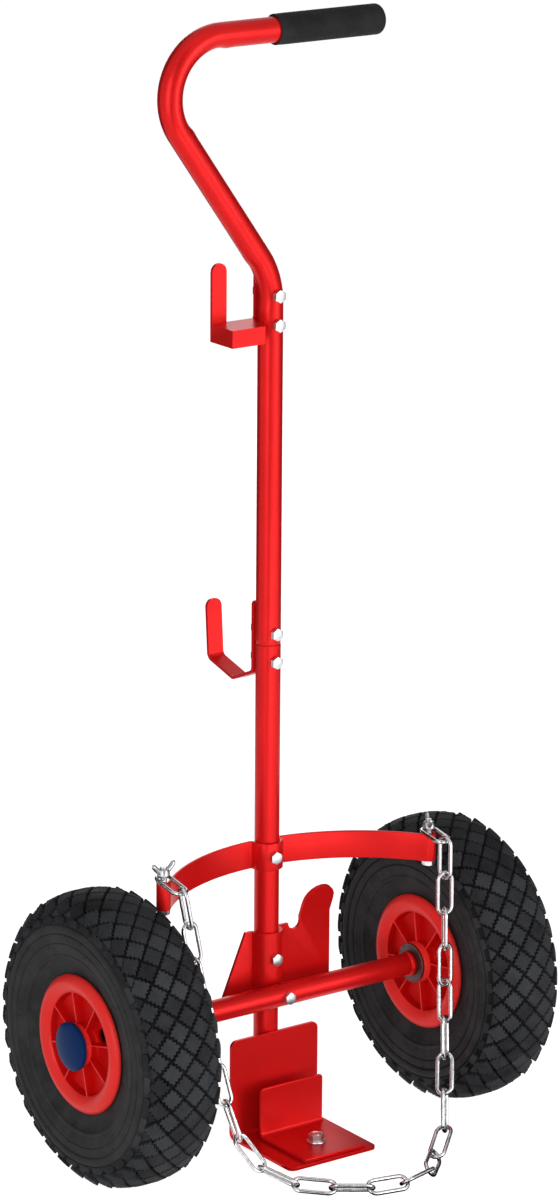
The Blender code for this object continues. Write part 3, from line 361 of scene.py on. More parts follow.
def filleted(points, radius, steps):
    """A flat polyline with its inner corners rounded to one radius."""
    path = [Vector(points[0])]
    for before, corner, after in zip(points, points[1:], points[2:]):
        corner = Vector(corner)
        back = (Vector(before) - corner).normalized()
        ahead = (Vector(after) - corner).normalized()
        half = back.angle(ahead) / 2
        middle = corner + (back + ahead).normalized() * radius / sin(half)
        first = corner + back * radius / tan(half) - middle
        swing = first.angle_signed(corner + ahead * radius / tan(half) - middle)
        start = atan2(first.y, first.x)
        for i in range(steps + 1):
            turn = start - swing * i / steps
            path.append(middle + radius * Vector((cos(turn), sin(turn))))
    path.append(Vector(points[-1]))
    return [tuple(point) for point in path]


def stepped(points, longest):
    """A path with more points where they are far apart."""
    points = np.asarray(points, float)
    full = [points[:1]]
    for first, last in zip(points, points[1:]):
        steps = max(1, int(np.ceil(np.linalg.norm(last - first) / longest)))
        shares = np.arange(1, steps + 1)[:, None] / steps
        full.append(first + (last - first) * shares)
    return np.concatenate(full)


red_paint = painted("red_paint", (0.740, 0.0105, 0.0110, 1), (0.670, 0.0085, 0.0090, 1), 0.14, 0.34)
lean = tan(HANDLE_LEAN)
tube_foot = (0, SEAM_HEIGHT + FIT)
tube_knee = (0, LOWER_BEND_HEIGHT)
tube_peak = (-lean * (HANDLE_HEIGHT - LOWER_BEND_HEIGHT), HANDLE_HEIGHT)
lower_run = filleted([tube_foot, tube_knee, tube_peak], LOWER_BEND_RADIUS, 18)
upper_run = filleted([tube_knee, tube_peak, (HANDLE_REACH, HANDLE_HEIGHT)], UPPER_BEND_RADIUS, 40)
tube_line = stepped(lower_run[:-1] + upper_run[1:], 0.003)
tube_path = np.stack([tube_line[:, 0], np.zeros(len(tube_line)), tube_line[:, 1]], axis=1)
tube_run = np.concatenate([[0], np.cumsum(np.linalg.norm(np.diff(tube_line, axis=0), axis=1))])


def run_at(point):
    """How far along the upper tube a point of its middle line is."""
    return tube_run[np.argmin(np.linalg.norm(tube_line - np.array(point), axis=1))]


round_turns = 2 * pi * np.arange(TUBE_STEPS) / TUBE_STEPS
tube_radii = np.full((len(tube_line), TUBE_STEPS), POST_RADIUS)
for bend, inside, depth in ((lower_run[1:-1], pi, 0.0007), (upper_run[1:-1], 0.0, 0.0010)):
    from_start = tube_run - run_at(bend[0])
    from_end = tube_run - run_at(bend[-1])
    towards = np.clip(np.cos(round_turns - inside), 0, 1) ** 2
    flat = 1 / (1 + np.exp(-from_start / BEND_EASE)) - 1 / (1 + np.exp(-from_end / BEND_EASE))
    crease = np.exp(-((from_start + CREASE_OFF) / CREASE_BREADTH) ** 2)
    crease += np.exp(-((from_end - CREASE_OFF) / CREASE_BREADTH) ** 2)
    tube_radii += np.outer(0.5 * depth * crease - depth * flat, towards)
tube_radii[0] -= 0.0004
tube_section = np.stack([tube_radii * np.cos(round_turns), tube_radii * np.sin(round_turns)], axis=2)
tube_shape = swept(tube_path, (0, 1, 0), tube_section)
piece("post_upper", [tube_shape], red_paint, "frame", ["upper_tube"])
lower_profile = [(0, SEAM_HEIGHT), (POST_RADIUS - 0.0005, SEAM_HEIGHT), (POST_RADIUS, SEAM_HEIGHT - 0.0005)]
lower_profile += [(POST_RADIUS, height) for height in np.linspace(SEAM_HEIGHT - 0.02, 0.02, 12)]
lower_profile += [(POST_RADIUS, 0.0012), (POST_RADIUS - 0.0004, 0.0003), (POST_RADIUS - 0.0012, 0), (0, 0)]
piece("post_lower", [turned(lower_profile, TUBE_STEPS)], red_paint, "frame", ["lower_tube"])

# Hand grip: a dipped rubber sleeve with a closed round end, pushed on the handle. Fine rings are
# moulded round it between two plain bands.
GRIP_LENGTH = 0.110
GRIP_RADIUS = POST_RADIUS + FIT + 0.002
GRIP_WALL = 0.004
GRIP_END = HANDLE_REACH + FIT + GRIP_WALL
GRIP_BAND = 0.006
GRIP_DOME = 0.0045
GRIP_RING_PITCH = 0.0015
GRIP_RING_DEPTH = 0.00022


def rubbery(name, pale, dark, specular, grain, shade_mask=None):
    """Matt rubber with a mottled, slightly dusty surface; the optional mask gives the share of painted shade,
    in black, at a place.
    """
    made, shader, start = new_look(name, specular_ior_level=specular)
    place = start.node("TexCoord", out="Object")
    dust = place.noise(38, 4.0, 0.6)
    pores = place.noise(grain, 2.0)
    colour = dust.between(0.38, 0.66).blend(dark, pale)
    if shade_mask:
        # Painted shade: near black where the mask says.
        colour = shade_mask(place).blend(colour, (0.0035, 0.0035, 0.0038, 1))
    start.feed(shader.inputs["Base Color"], colour)
    start.feed(shader.inputs["Roughness"], 0.52 + 0.30 * dust)
    start.feed(shader.inputs["Normal"], pores.bump(0.0002, 0.30))
    return made


grip_rubber = rubbery("grip_rubber", (0.024, 0.024, 0.024, 1), (0.013, 0.013, 0.013, 1), 0.14, 900)
grip_start = GRIP_END - GRIP_LENGTH
grip_profile = [(POST_RADIUS + FIT, grip_start + 0.0004), (GRIP_RADIUS - 0.0008, grip_start),
                (GRIP_RADIUS - 0.0001, grip_start + 0.0008)]
ring_start = grip_start + GRIP_BAND
ring_count = int((GRIP_LENGTH - 3 * GRIP_BAND) / GRIP_RING_PITCH)
for i in range(ring_count):
    foot = ring_start + i * GRIP_RING_PITCH
    grip_profile += [(GRIP_RADIUS - GRIP_RING_DEPTH, foot), (GRIP_RADIUS, foot + 0.3 * GRIP_RING_PITCH),
                     (GRIP_RADIUS, foot + 0.7 * GRIP_RING_PITCH)]
dome_line = arc((GRIP_END - GRIP_DOME, GRIP_RADIUS - GRIP_DOME), GRIP_DOME, pi / 2, 0, 8)
grip_profile += [(radius, along) for along, radius in dome_line]
grip_profile += [(0, GRIP_END), (0, GRIP_END - GRIP_WALL), (POST_RADIUS + FIT, GRIP_END - GRIP_WALL)]
grip_shape = turned(grip_profile, 48, closed=True)
along_x = Matrix.Rotation(pi / 2, 4, "Y")
grip_place = Matrix.Translation((0, 0, HANDLE_HEIGHT)) @ along_x
piece("grip_sleeve", [grip_shape], grip_rubber, "frame", ["hand_grip"], grip_place)

# Axle: a straight red tube bolted before the post, with a swaged bead and a plated washer inside
# each wheel. A bolt through the tube and the post holds it.
WHEEL_RADIUS = 0.130
WHEEL_TRACK = 0.364
HUB_LENGTH = 0.075
AXLE_RADIUS = 0.010
AXLE_BEAD = 0.0015
AXLE_BEAD_WIDTH = 0.005
AXLE_FORWARD = 0.0246
AXLE_PROUD = 0.0045
AXLE_EDGE = 0.0006
WASHER_RADIUS = 0.018
WASHER_THICKNESS = 0.0025
HUB_INNER = WHEEL_TRACK / 2 - HUB_LENGTH / 2
HUB_OUTER = WHEEL_TRACK / 2 + HUB_LENGTH / 2
SIDES = (("left", -1), ("right", 1))


def plated(name, bright, dull, smooth, rough):
    """Plated steel: bright, with faint cloudy patches and fine scratches."""
    made, shader, start = new_look(name, metallic=1.0)
    place = start.node("TexCoord", out="Object")
    cloud = place.noise(160, 3.0, 0.6)
    scratch = place.noise(1500, 1.0)
    start.feed(shader.inputs["Base Color"], cloud.between(0.35, 0.68).blend(bright, dull))
    start.feed(shader.inputs["Roughness"], smooth + (rough - smooth) * cloud)
    start.feed(shader.inputs["Normal"], scratch.bump(0.0001, 0.03))
    return made


zinc = plated("zinc", (0.76, 0.77, 0.78, 1), (0.60, 0.61, 0.62, 1), 0.24, 0.42)
# The washers' dark red-brown base colour is painted shade and a painted reflection of the red rim and axle.
steel_with_painted_reflection = plated("steel_with_painted_reflection", (0.150, 0.085, 0.085, 1), (0.100, 0.050, 0.050, 1), 0.45, 0.65)
bead_out = HUB_INNER - 2 * FIT - WASHER_THICKNESS
bead_middle = bead_out - AXLE_BEAD_WIDTH / 2
axle_end = HUB_OUTER + AXLE_PROUD
axle_half = [(0, axle_end), (AXLE_RADIUS - AXLE_EDGE, axle_end), (AXLE_RADIUS, axle_end - AXLE_EDGE)]
for i in range(13):
    reach = 1 - i / 6
    swell = AXLE_BEAD * cos(reach * pi / 2) ** 0.8 if abs(reach) < 1 else 0
    axle_half.append((AXLE_RADIUS + swell, bead_middle + reach * AXLE_BEAD_WIDTH / 2))
axle_half += [(AXLE_RADIUS, along) for along in np.linspace(bead_middle - 0.01, 0.005, 14)]
axle_profile = axle_half + [(radius, -along) for radius, along in reversed(axle_half)]
axle_place = Matrix.Translation((0, -AXLE_FORWARD, WHEEL_RADIUS))
piece("axle_bar", [turned(axle_profile, TUBE_STEPS)], red_paint, "frame", ["axle_tube"],
      axle_place @ along_x)
washer_edge = 0.0004
washer_bore = AXLE_RADIUS + FIT
washer_profile = [(washer_bore, 0), (WASHER_RADIUS - washer_edge, 0), (WASHER_RADIUS, washer_edge),
                  (WASHER_RADIUS, WASHER_THICKNESS - washer_edge),
                  (WASHER_RADIUS - washer_edge, WASHER_THICKNESS), (washer_bore, WASHER_THICKNESS)]
washer_shape = turned(washer_profile, TUBE_STEPS, closed=True)
for label, side in SIDES:
    seat = axle_place @ Matrix.Translation((side * (HUB_INNER - FIT - WASHER_THICKNESS), 0, 0))
    piece("hub_washer_" + label, [washer_shape], steel_with_painted_reflection, "frame", ["axle_washer_" + label],
          seat @ Matrix.Rotation(side * pi / 2, 4, "Y"))

# Rims: moulded in red plastic in one piece, each with two flanges, a rounded face ring, and a recess
# with a web and eight thin ribs on each side of a long hub. The outer web has a pocket for the valve.
RIM_RIBS = 8
RIB_ROOT = 0.0026
RIB_EDGE = 0.0016
RIB_TOP = 0.0318
RIB_ENDS = (0.0175, 0.0462)
RIM_WEB = 0.0245
RING_EDGE = (0.0452, 0.0460)
HOLLOW_SHADE_EDGE = (0.0312, 0.0318)
POCKET_ENDS = (0.0275, 0.0368)
POCKET_HALF = 0.0062
POCKET_FROM_RIB = 0.0076
POCKET_DEPTHS = (0.0020, 0.0300)
POCKET_SHADE = (0.0210, 0.0238)
rib_turns = {"left": radians(6.7), "right": radians(33.3)}
wheel_turns = {"left": radians(7.3), "right": radians(3.2)}
rim_half = [
    (0.0520, 0.0250), (0.0597, 0.0285), (0.0610, 0.0295), (0.0614, 0.0306), (0.0612, 0.0317),
    (0.0604, 0.0330), (0.0590, 0.0343), (0.0575, 0.0352), (0.0560, 0.0358), (0.0545, 0.0361),
    (0.0530, 0.0361), (0.0505, 0.0354), (0.0480, 0.0342), (0.0464, 0.0331), (0.0455, 0.0320),
    (0.0449, 0.0307), (0.0443, 0.0262), (0.0437, 0.0250), (0.0425, RIM_WEB), (0.0300, RIM_WEB),
    (0.0215, RIM_WEB), (0.0197, 0.0251), (0.0189, 0.0264), (0.0185, 0.0290), (0.0185, 0.0365),
    (0.0180, 0.0373), (0.0172, 0.0375), (0.0109, 0.0375), (0.0103, 0.0370),
]
rim_profile = list(reversed([(radius, -height) for radius, height in rim_half])) + rim_half


def moulded(name, face, hollow_shade):
    """Glossy plastic, smoother on the outer faces of the mould. Painted shade colours its hollows a deeper
    red, and near black deeper than the web.
    """
    made, shader, start = new_look(name, specular_ior_level=0.18)
    place = start.node("TexCoord", out="Object")
    depth = start.math("ABSOLUTE", place.rise())
    drift = place.noise(22, 2.0)
    # Painted shade: the face ring and the rib tops keep the face colour, and the recess below them takes the
    # darker hollow colour.
    on_ring = place.off_axis().between(*RING_EDGE)
    outer = on_ring + (1 - on_ring) * depth.between(*HOLLOW_SHADE_EDGE)
    colour = outer.blend(hollow_shade, face)
    # Painted shade: everything deeper than the web, such as the floor of the valve pocket, is coloured near
    # black.
    colour = depth.between(*POCKET_SHADE).blend((0.010, 0.0006, 0.0006, 1), colour)
    start.feed(shader.inputs["Base Color"], colour)
    start.feed(shader.inputs["Roughness"], 0.30 + 0.14 * drift + 0.16 * (1 - outer))
    start.feed(shader.inputs["Metallic"], 0.50 * (1 - outer))
    start.feed(shader.inputs["Normal"], place.noise(700, 1.0).bump(0.0002, 0.12))
    return made


# The hollow colour is the face colour darkened as painted shade.
red_plastic = moulded("red_plastic", (0.950, 0.0320, 0.0270, 1), (0.600, 0.0035, 0.0035, 1))


def rib(turn, side):
    """One rib from the hub to the barrel, thinner at its free edge."""
    inner, outer = RIB_ENDS
    rows = []
    for height, thickness in ((RIM_WEB - 0.0015, RIB_ROOT), (RIB_TOP - 0.0006, RIB_EDGE),
                              (RIB_TOP, RIB_EDGE - 0.0005)):
        half = thickness / 2
        loop = [(inner, -half), (outer, -half), (outer, half), (inner, half)]
        rows.append([(x, y, side * height) for x, y in loop])
    floor_row = [(x, 0, z) for x, y, z in rows[0]]
    roof_row = [(x, 0, z) for x, y, z in rows[-1]]
    return moved(grid([floor_row] + rows + [roof_row], False, True), Matrix.Rotation(turn, 4, "Z"))


def bored(mesh, shape):
    """A mesh with a closed shape cut out of it."""
    made = bpy.data.objects.new("bored", mesh)
    tool = bpy.data.objects.new("cutter", closed_mesh("cutter", [shape]))
    for each in (made, tool):
        bpy.context.scene.collection.objects.link(each)
    step = made.modifiers.new("bore", "BOOLEAN")
    step.object = tool
    step.solver = "EXACT"
    ready = bpy.context.evaluated_depsgraph_get()
    result = bpy.data.meshes.new_from_object(made.evaluated_get(ready))
    bpy.data.objects.remove(made)
    bpy.data.objects.remove(tool)
    return result


slot_line = arc((POCKET_ENDS[1], POCKET_FROM_RIB), POCKET_HALF, -pi / 2, pi / 2, 10)
slot_line += arc((POCKET_ENDS[0], POCKET_FROM_RIB), POCKET_HALF, pi / 2, 3 * pi / 2, 10)
slot_rows = [[(x, y, z) for x, y in slot_line] for z in POCKET_DEPTHS]
slot_ends = [[(np.mean(POCKET_ENDS), POCKET_FROM_RIB, z)] * len(slot_line) for z in POCKET_DEPTHS]
slot = grid([slot_ends[0], slot_rows[0], slot_rows[1], slot_ends[1]], False, True)
wheel_places = {}
rib_gap = 2 * pi / RIM_RIBS
for label, side in SIDES:
    facing = Matrix.Rotation(side * pi / 2, 4, "Y") @ Matrix.Rotation(wheel_turns[label], 4, "Z")
    wheel_places[label] = axle_place @ Matrix.Translation((side * WHEEL_TRACK / 2, 0, 0)) @ facing
    slot_turn = Matrix.Rotation(rib_turns[label] - 2 * rib_gap, 4, "Z")
    barrel = closed_mesh("barrel", [turned(rim_profile, 120, closed=True)])
    rim_mesh = bored(barrel, moved(slot, slot_turn))
    ribs = [rib(rib_turns[label] + i * rib_gap, face) for i in range(RIM_RIBS) for face in (-1, 1)]
    work = bmesh.new()
    work.from_mesh(rim_mesh)
    work.from_mesh(closed_mesh("ribs", ribs))
    work.to_mesh(rim_mesh)
    work.free()
    placed("wheel_rim_" + label, rim_mesh, red_plastic, "wheel_" + label, ["rim_" + label],
           wheel_places[label])

# Tyres: black pneumatic rubber. A lattice of flat diamond blocks with toothed edges runs over the crown, lugs
# join it to the sidewalls, and a band, rings and moulding nubs circle these.
TYRE_LOW = 0.0620
TYRE_WIDTH = 0.076
TYRE_FULLNESS = 0.80
TYRE_WRAP = radians(128)
BEAD_RADIUS = 0.0523
BEAD_HALF = 0.0247
BEAD_SHOULDER = 0.0284
TREAD_DEPTH = 0.0030
TREAD_AROUND = 35
TREAD_ROW = 0.011
TREAD_ROWS = 3
TREAD_GAP = 0.0013
TREAD_TOOTH = 0.0006
TREAD_TEETH = 3
TREAD_FLAT = (0.7, 0.6, 0.2, 0.7)
TREAD_RISE = (0.0, 0.0, 0.0, 0.0013)
TREAD_END = 0.0470
GROOVE_FLOOR = (0.0420, 0.0400)
INNER_SHOULDER = (0.0476, 0.0466)
NUB_COUNT = 25
NUB_LENGTH = 0.0016
tyre_height = (WHEEL_RADIUS - TYRE_LOW) / 2
tyre_middle = (WHEEL_RADIUS + TYRE_LOW) / 2
section_turns = np.linspace(-TYRE_WRAP, TYRE_WRAP, 1601)
rise = np.sign(np.cos(section_turns)) * np.abs(np.cos(section_turns)) ** TYRE_FULLNESS
spread = np.sign(section_turns) * np.abs(np.sin(section_turns)) ** TYRE_FULLNESS
section = np.stack([tyre_middle + tyre_height * rise, TYRE_WIDTH / 2 * spread], axis=1)
section_run = np.concatenate([[0], np.cumsum(np.linalg.norm(np.diff(section, axis=0), axis=1))])
section_run -= section_run[len(section_run) // 2]
section_way = np.gradient(section, axis=0)
section_way /= np.linalg.norm(section_way, axis=1)[:, None]


def way_across(across):
    """The direction of the tyre's section at a way across from its crown."""
    return np.stack([np.interp(across, section_run, section_way[:, i]) for i in (0, 1)], axis=-1)


def on_section(across, height):
    """Radius and width of points at a way across the tyre from its crown, and a height above it."""
    way = way_across(across)
    radius = np.interp(across, section_run, section[:, 0]) + height * way[..., 1]
    width = np.interp(across, section_run, section[:, 1]) - height * way[..., 0]
    return np.stack([radius, width], axis=-1)


def round_axle(turn, spots):
    """Points round the axle from an angle and spots of radius and width."""
    radius = spots[..., 0] + 0 * turn
    return np.stack([radius * np.cos(turn), radius * np.sin(turn), spots[..., 1] + 0 * turn], axis=-1)


casing_run = np.linspace(section_run[0], section_run[-1], 401)
from_crown = np.abs(casing_run)
casing_lift = -TREAD_DEPTH / (1 + np.exp((from_crown - TREAD_END + 0.0005) / 0.0006))
inner_strength = np.where(casing_run < 0, 1.6, 1.0)
sidewall_rings = (0.0489, 0.0571, 0.0655)
for ring, lift, breadth in ((sidewall_rings[0], -0.0010, 0.0008), (0.0530, 0.0006, 0.0031),
                            (sidewall_rings[1], -0.0008, 0.0007), (sidewall_rings[2], -0.0006, 0.0007),
                            (section_run[-1] - 0.0060, 0.0010, 0.0016)):
    casing_lift += inner_strength * lift * np.exp(-((from_crown - ring) / breadth) ** 4)
tread_pitch = 2 * pi / TREAD_AROUND
casing_turns = np.linspace(0, 2 * pi, 5 * TREAD_AROUND, endpoint=False)
casing_net = round_axle(casing_turns[:, None], on_section(casing_run, casing_lift)[None])
bead_profile = [(TYRE_LOW - FIT, BEAD_SHOULDER), (BEAD_RADIUS, BEAD_HALF), (BEAD_RADIUS, -BEAD_HALF),
                (TYRE_LOW - FIT, -BEAD_SHOULDER)]
bead_net = round_axle(casing_turns[:, None], np.array(bead_profile)[None])
casing = grid(np.concatenate([casing_net, bead_net], axis=1), True, True)


def radius_at(across):
    """The radius of the casing's curve at a way across from its crown."""
    return float(on_section(across, 0)[0])


def groove_shade(place):
    """Where shade is painted: 1 in the floor of the tread, part in the rings of the sidewalls, more on the
    inner side and its shoulder recesses, and 0 elsewhere.
    """
    radius = place.off_axis()
    inner_side = 1 - place.rise().between(-0.01, 0.01)
    share = radius.between(*(radius_at(across) for across in GROOVE_FLOOR))
    share = share + 0.8 * inner_side * radius.between(*(radius_at(across) for across in INNER_SHOULDER))
    for ring in sidewall_rings:
        off = place.math("ABSOLUTE", radius - radius_at(ring))
        share = share + (0.25 + 0.35 * inner_side) * (1 - off.between(0.0003, 0.0010))
    return share


# Painted shade darkens its groove floors and sidewall rings, most on the inner side.
tyre_rubber = rubbery("tyre_rubber", (0.040, 0.040, 0.042, 1), (0.022, 0.022, 0.023, 1), 0.12, 700,
                      groove_shade)


def worn(name, pale, dark):
    """Tread rubber: each block has its own tone, as the road has polished it, under a fine grain."""
    made, shader, start = new_look(name, specular_ior_level=0.06)
    place = start.node("TexCoord", out="Object")
    block = start.node("Attribute", {"attribute_name": "tone"}, out="Fac")
    dust = place.noise(60, 4.0, 0.6)
    start.feed(shader.inputs["Base Color"], (0.75 * block + 0.35 * dust.between(0.3, 0.7)).blend(dark, pale))
    start.feed(shader.inputs["Roughness"], 0.55 + 0.20 * dust + 0.10 * block)
    start.feed(shader.inputs["Normal"], place.noise(900, 2.0).bump(0.0002, 0.25))
    return made


tread_rubber = worn("tread_rubber", (0.050, 0.052, 0.057, 1), (0.013, 0.013, 0.014, 1))


def raised(outline, around, across, flatness, top):
    """A rubber block from an outline in tread space: its foot, side, worn edge and top. Flatness says how
    far the top leaves the casing's curve for a plane across the tyre, so that its corners stand proud."""
    outline = np.asarray(outline)
    steps = ((0.0, -0.0042, 0), (1.0, -TREAD_DEPTH - 0.0006, 0), (0.985, top - 0.0004, flatness),
             (0.94, top, flatness), (0.5, top + 0.0001, flatness), (0.0, top + 0.0001, flatness))
    rows = []
    for scale, height, flat in steps:
        off = outline[:, 1] * scale
        curved = on_section(across + off, height)
        plain = on_section(across, height) + off[:, None] * way_across(across)
        spots = curved + flat * (plain - curved)
        spots[:, 0] = np.minimum(spots[:, 0], WHEEL_RADIUS)
        rows.append(round_axle(around + outline[:, 0] * scale / WHEEL_RADIUS, spots))
    return grid(rows, False, True)


half_round = pi * WHEEL_RADIUS / TREAD_AROUND
diamond_inset = 1 - TREAD_GAP * sqrt(1 / half_round ** 2 + 1 / TREAD_ROW ** 2)
diamond_ends = ((half_round, 0), (0, TREAD_ROW), (-half_round, 0), (0, -TREAD_ROW))
diamond_corners = [Vector(end) * diamond_inset for end in diamond_ends]
diamond = []
for quarter in range(4):
    first = diamond_corners[quarter]
    last = diamond_corners[(quarter + 1) % 4]
    out = Vector((last.y - first.y, first.x - last.x)).normalized() * TREAD_TOOTH
    diamond.append(tuple(first * 0.985))
    for i in range(TREAD_TEETH):
        for share, way in ((0.10, 1), (0.50, 1), (0.56, -1), (0.94, -1)):
            point = first.lerp(last, 0.07 + 0.86 * (i + share) / TREAD_TEETH) + way * out
            diamond.append(tuple(point))
shoulder_wedge = [(0.0008, 0.0350), (0.0062, 0.0402), (0.0062, 0.0412), (-0.0062, 0.0412), (-0.0062, 0.0402),
                  (-0.0008, 0.0350)]
shoulder_lug = [(0.0038, 0.0418), (0.0058, 0.0440), (0.0058, 0.0482), (-0.0058, 0.0482), (-0.0058, 0.0440),
                (-0.0038, 0.0418)]


def nub(around, across, length):
    """A thin moulding vent that stands on the sidewall."""
    base = round_axle(around, on_section(across, -0.0005))
    tip = round_axle(around, on_section(across, length))
    lean_to = Vector(tip - base).to_track_quat("Z", "Y").to_matrix().to_4x4()
    stem = [(0, 0), (0.00050, 0), (0.0004, length), (0, length + 0.0003)]
    return moved(turned(stem, 6), Matrix.Translation(base) @ lean_to)


casing_shapes = [casing]
tread_shapes = []
for row in range(-TREAD_ROWS, TREAD_ROWS + 1):
    flatness = TREAD_FLAT[abs(row)]
    top = TREAD_RISE[abs(row)]
    for i in range(TREAD_AROUND):
        turn = (i + 0.5 * (row % 2)) * tread_pitch
        tread_shapes.append(raised(diamond, turn, row * TREAD_ROW, flatness, top))
for side, lug_width in ((-1, 1.0), (1, 1.5)):
    wide_lug = [(x * lug_width, y) for x, y in shoulder_lug]
    for outline, middle, shift, top in ((shoulder_wedge, 0.0381, 0.0, -0.0010),
                                        (wide_lug, 0.0450, 0.5, 0.0003)):
        shape = [(x, side * (y - middle)) for x, y in outline]
        for i in range(TREAD_AROUND):
            tread_shapes.append(raised(shape, (i + shift) * tread_pitch, side * middle, 0.0, top))
    for i in range(NUB_COUNT):
        turn = radians(360 / NUB_COUNT * i + 5 * (i % 3))
        casing_shapes.append(nub(turn, side * (0.0590 + 0.0096 * (i % 2)), NUB_LENGTH))
block_tones = np.random.default_rng(7).random(len(tread_shapes))
for label in ("left", "right"):
    casing_mesh = closed_mesh("tyre_casing_" + label, casing_shapes)
    tread_mesh = closed_mesh("tyre_tread_" + label, tread_shapes, block_tones)
    for mesh, look in ((casing_mesh, tyre_rubber), (tread_mesh, tread_rubber)):
        placed(mesh.name, mesh, look, "wheel_" + label, ["tyre_" + label], wheel_places[label],
               sharp=38)

# Hub caps: domed caps moulded in blue plastic. Each is pushed over an end of the axle and keeps its
# wheel on.
CAP_RADIUS = 0.0215
CAP_RIM = 0.0035
CAP_DOME = 0.0045
CAP_BORE = 0.0103
CAP_SOCKET = 0.0048
blue_plastic = painted("blue_plastic", (0.0070, 0.0350, 0.1400, 1), (0.0055, 0.0300, 0.1200, 1), 0.04, 0.0)
cap_profile = [(0, CAP_RIM + CAP_DOME)]
for turn in np.linspace(0.12, 1.38, 14):
    cap_profile.append((CAP_RADIUS * sin(turn), CAP_RIM + CAP_DOME * cos(turn)))
cap_profile += [(CAP_RADIUS, CAP_RIM - 0.0004), (CAP_RADIUS, FIT + 0.0008), (CAP_RADIUS - 0.0006, FIT),
                (CAP_BORE, FIT), (CAP_BORE, CAP_SOCKET), (0, CAP_SOCKET)]
cap_shape = turned(cap_profile, 64)
for label, side in SIDES:
    seat = axle_place @ Matrix.Translation((side * HUB_OUTER, 0, 0)) @ Matrix.Rotation(side * pi / 2, 4, "Y")
    piece("axle_cap_" + label, [cap_shape], blue_plastic, "frame", ["hub_cap_" + label], seat)


# Lance bracket: a red sheet folded round the front of the post, with a sloping wing on the left, and
# a notch and a leaning lug on the right. Its edges are deburred.
SHEET_CORNER = radians(24)


def folded(name, node, edge):
    """A folded red sheet on the frame: its CAD node's shape, with its seams welded and its edges rounded."""
    work = bmesh.new()
    work.from_mesh(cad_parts[node].data)
    bmesh.ops.remove_doubles(work, verts=work.verts, dist=0.000005)
    bmesh.ops.dissolve_limit(work, angle_limit=radians(1.5), verts=work.verts, edges=work.edges)
    corners = [side for side in work.edges if side.is_manifold and side.calc_face_angle(0) > SHEET_CORNER]
    bmesh.ops.bevel(work, geom=corners, offset=edge, segments=2, profile=0.5, affect="EDGES",
                    clamp_overlap=True)
    mesh = bpy.data.meshes.new(node)
    work.to_mesh(mesh)
    work.free()
    placed(name, mesh, red_paint, "frame", [node], sharp=20)


folded("bracket_sheet", "lance_bracket", 0.0005)

# Cradle strap: a flat red bar formed round the post and out in a wide arc for the bottle, with an eye
# rolled at each end. It is clamped a few degrees off square.
CRADLE_HEIGHT = 0.2548
CRADLE_YAW = radians(-5.2)
CRADLE_RADIUS = 0.170
CRADLE_HALF_ANGLE = radians(50)
STRAP_WIDTH = 0.025
STRAP_THICKNESS = 0.003
STRAP_BEND = 0.003
STRAP_SADDLE = 0.0128
STRAP_EDGE = 0.0007
EYE_RADIUS = 0.0048
EYE_ROLL = radians(280)
cradle_place = Matrix.Translation((0, 0, CRADLE_HEIGHT)) @ Matrix.Rotation(CRADLE_YAW, 4, "Z")
arm_start = STRAP_SADDLE + STRAP_BEND
arm_first = asin(arm_start / CRADLE_RADIUS)
arm_middle = STRAP_BEND - CRADLE_RADIUS * cos(arm_first)
arm = arc((0, arm_middle), CRADLE_RADIUS, pi / 2 - arm_first, pi / 2 - CRADLE_HALF_ANGLE, 40)
arm_out = Vector((sin(CRADLE_HALF_ANGLE), cos(CRADLE_HALF_ANGLE)))
eye = Vector(arm[-1]) + EYE_RADIUS * arm_out
eye_entry = atan2(-arm_out.y, -arm_out.x)
strap_half = arm[1:] + arc(eye, EYE_RADIUS, eye_entry, eye_entry + EYE_ROLL, 28)[1:]
saddle = arc((-arm_start, 0), STRAP_BEND, pi / 2, 0, 8) + arc((0, 0), STRAP_SADDLE, pi, 2 * pi, 32)[1:]
saddle += arc((arm_start, 0), STRAP_BEND, pi, pi / 2, 8)[1:]
strap_line = [(-x, y) for x, y in reversed(strap_half)] + saddle + strap_half
strap_path = [(x, y, 0) for x, y in strap_line]
bar_section = []
for sx, sy, start in ((1, 1, 0), (-1, 1, pi / 2), (-1, -1, pi), (1, -1, 3 * pi / 2)):
    corner = (sx * (STRAP_THICKNESS / 2 - STRAP_EDGE), sy * (STRAP_WIDTH / 2 - STRAP_EDGE))
    bar_section += arc(corner, STRAP_EDGE, start, start + pi / 2, 3)
piece("cradle_bar", [swept(strap_path, (0, 0, 1), np.array(bar_section))], red_paint, "frame",
      ["cradle_strap"], cradle_place)

# Toe plate and bottle stop: two red angles bent from sheet. The plate is welded to the post by a bead
# at each side of the tube, and the stop is bolted on the plate.
PLATE_REAR = 0.0113
TOE_HEIGHT = 0.092
WELD_STEPS = 110
WELD_RIPPLE = 0.0021
WELD_ASIDE = 0.0062
folded("toe_angle", "toe_plate", 0.0006)
folded("stop_angle", "bottle_stop", 0.0006)
weld_run = np.linspace(0.009, TOE_HEIGHT - 0.006, WELD_STEPS)
ripple = 0.0019 + 0.0003 * np.abs(np.sin(weld_run * pi / WELD_RIPPLE))
ripple *= np.clip(np.minimum(weld_run - 0.008, TOE_HEIGHT - 0.005 - weld_run) / 0.002, 0.3, 1)
weld_turns = 2 * pi * np.arange(10) / 10
weld_section = ripple[:, None, None] * np.stack([np.cos(weld_turns), np.sin(weld_turns)], axis=1)
for label, side in SIDES:
    weld_aside = np.full(WELD_STEPS, side * WELD_ASIDE)
    weld_path = np.stack([weld_aside, np.full(WELD_STEPS, -PLATE_REAR + 0.0012), weld_run], axis=1)
    weld_shape = swept(weld_path, (0, 1, 0), weld_section)
    piece("toe_weld_" + label, [weld_shape], red_paint, "frame", [])

# Hooks: a folded shelf with a finger high on the post, and a bent strap with a finger lower down, both
# red. Each has a leg behind the post with two weld nuts.
folded("shelf_hook", "upper_hook", 0.0005)
folded("strap_hook", "lower_hook", 0.0005)

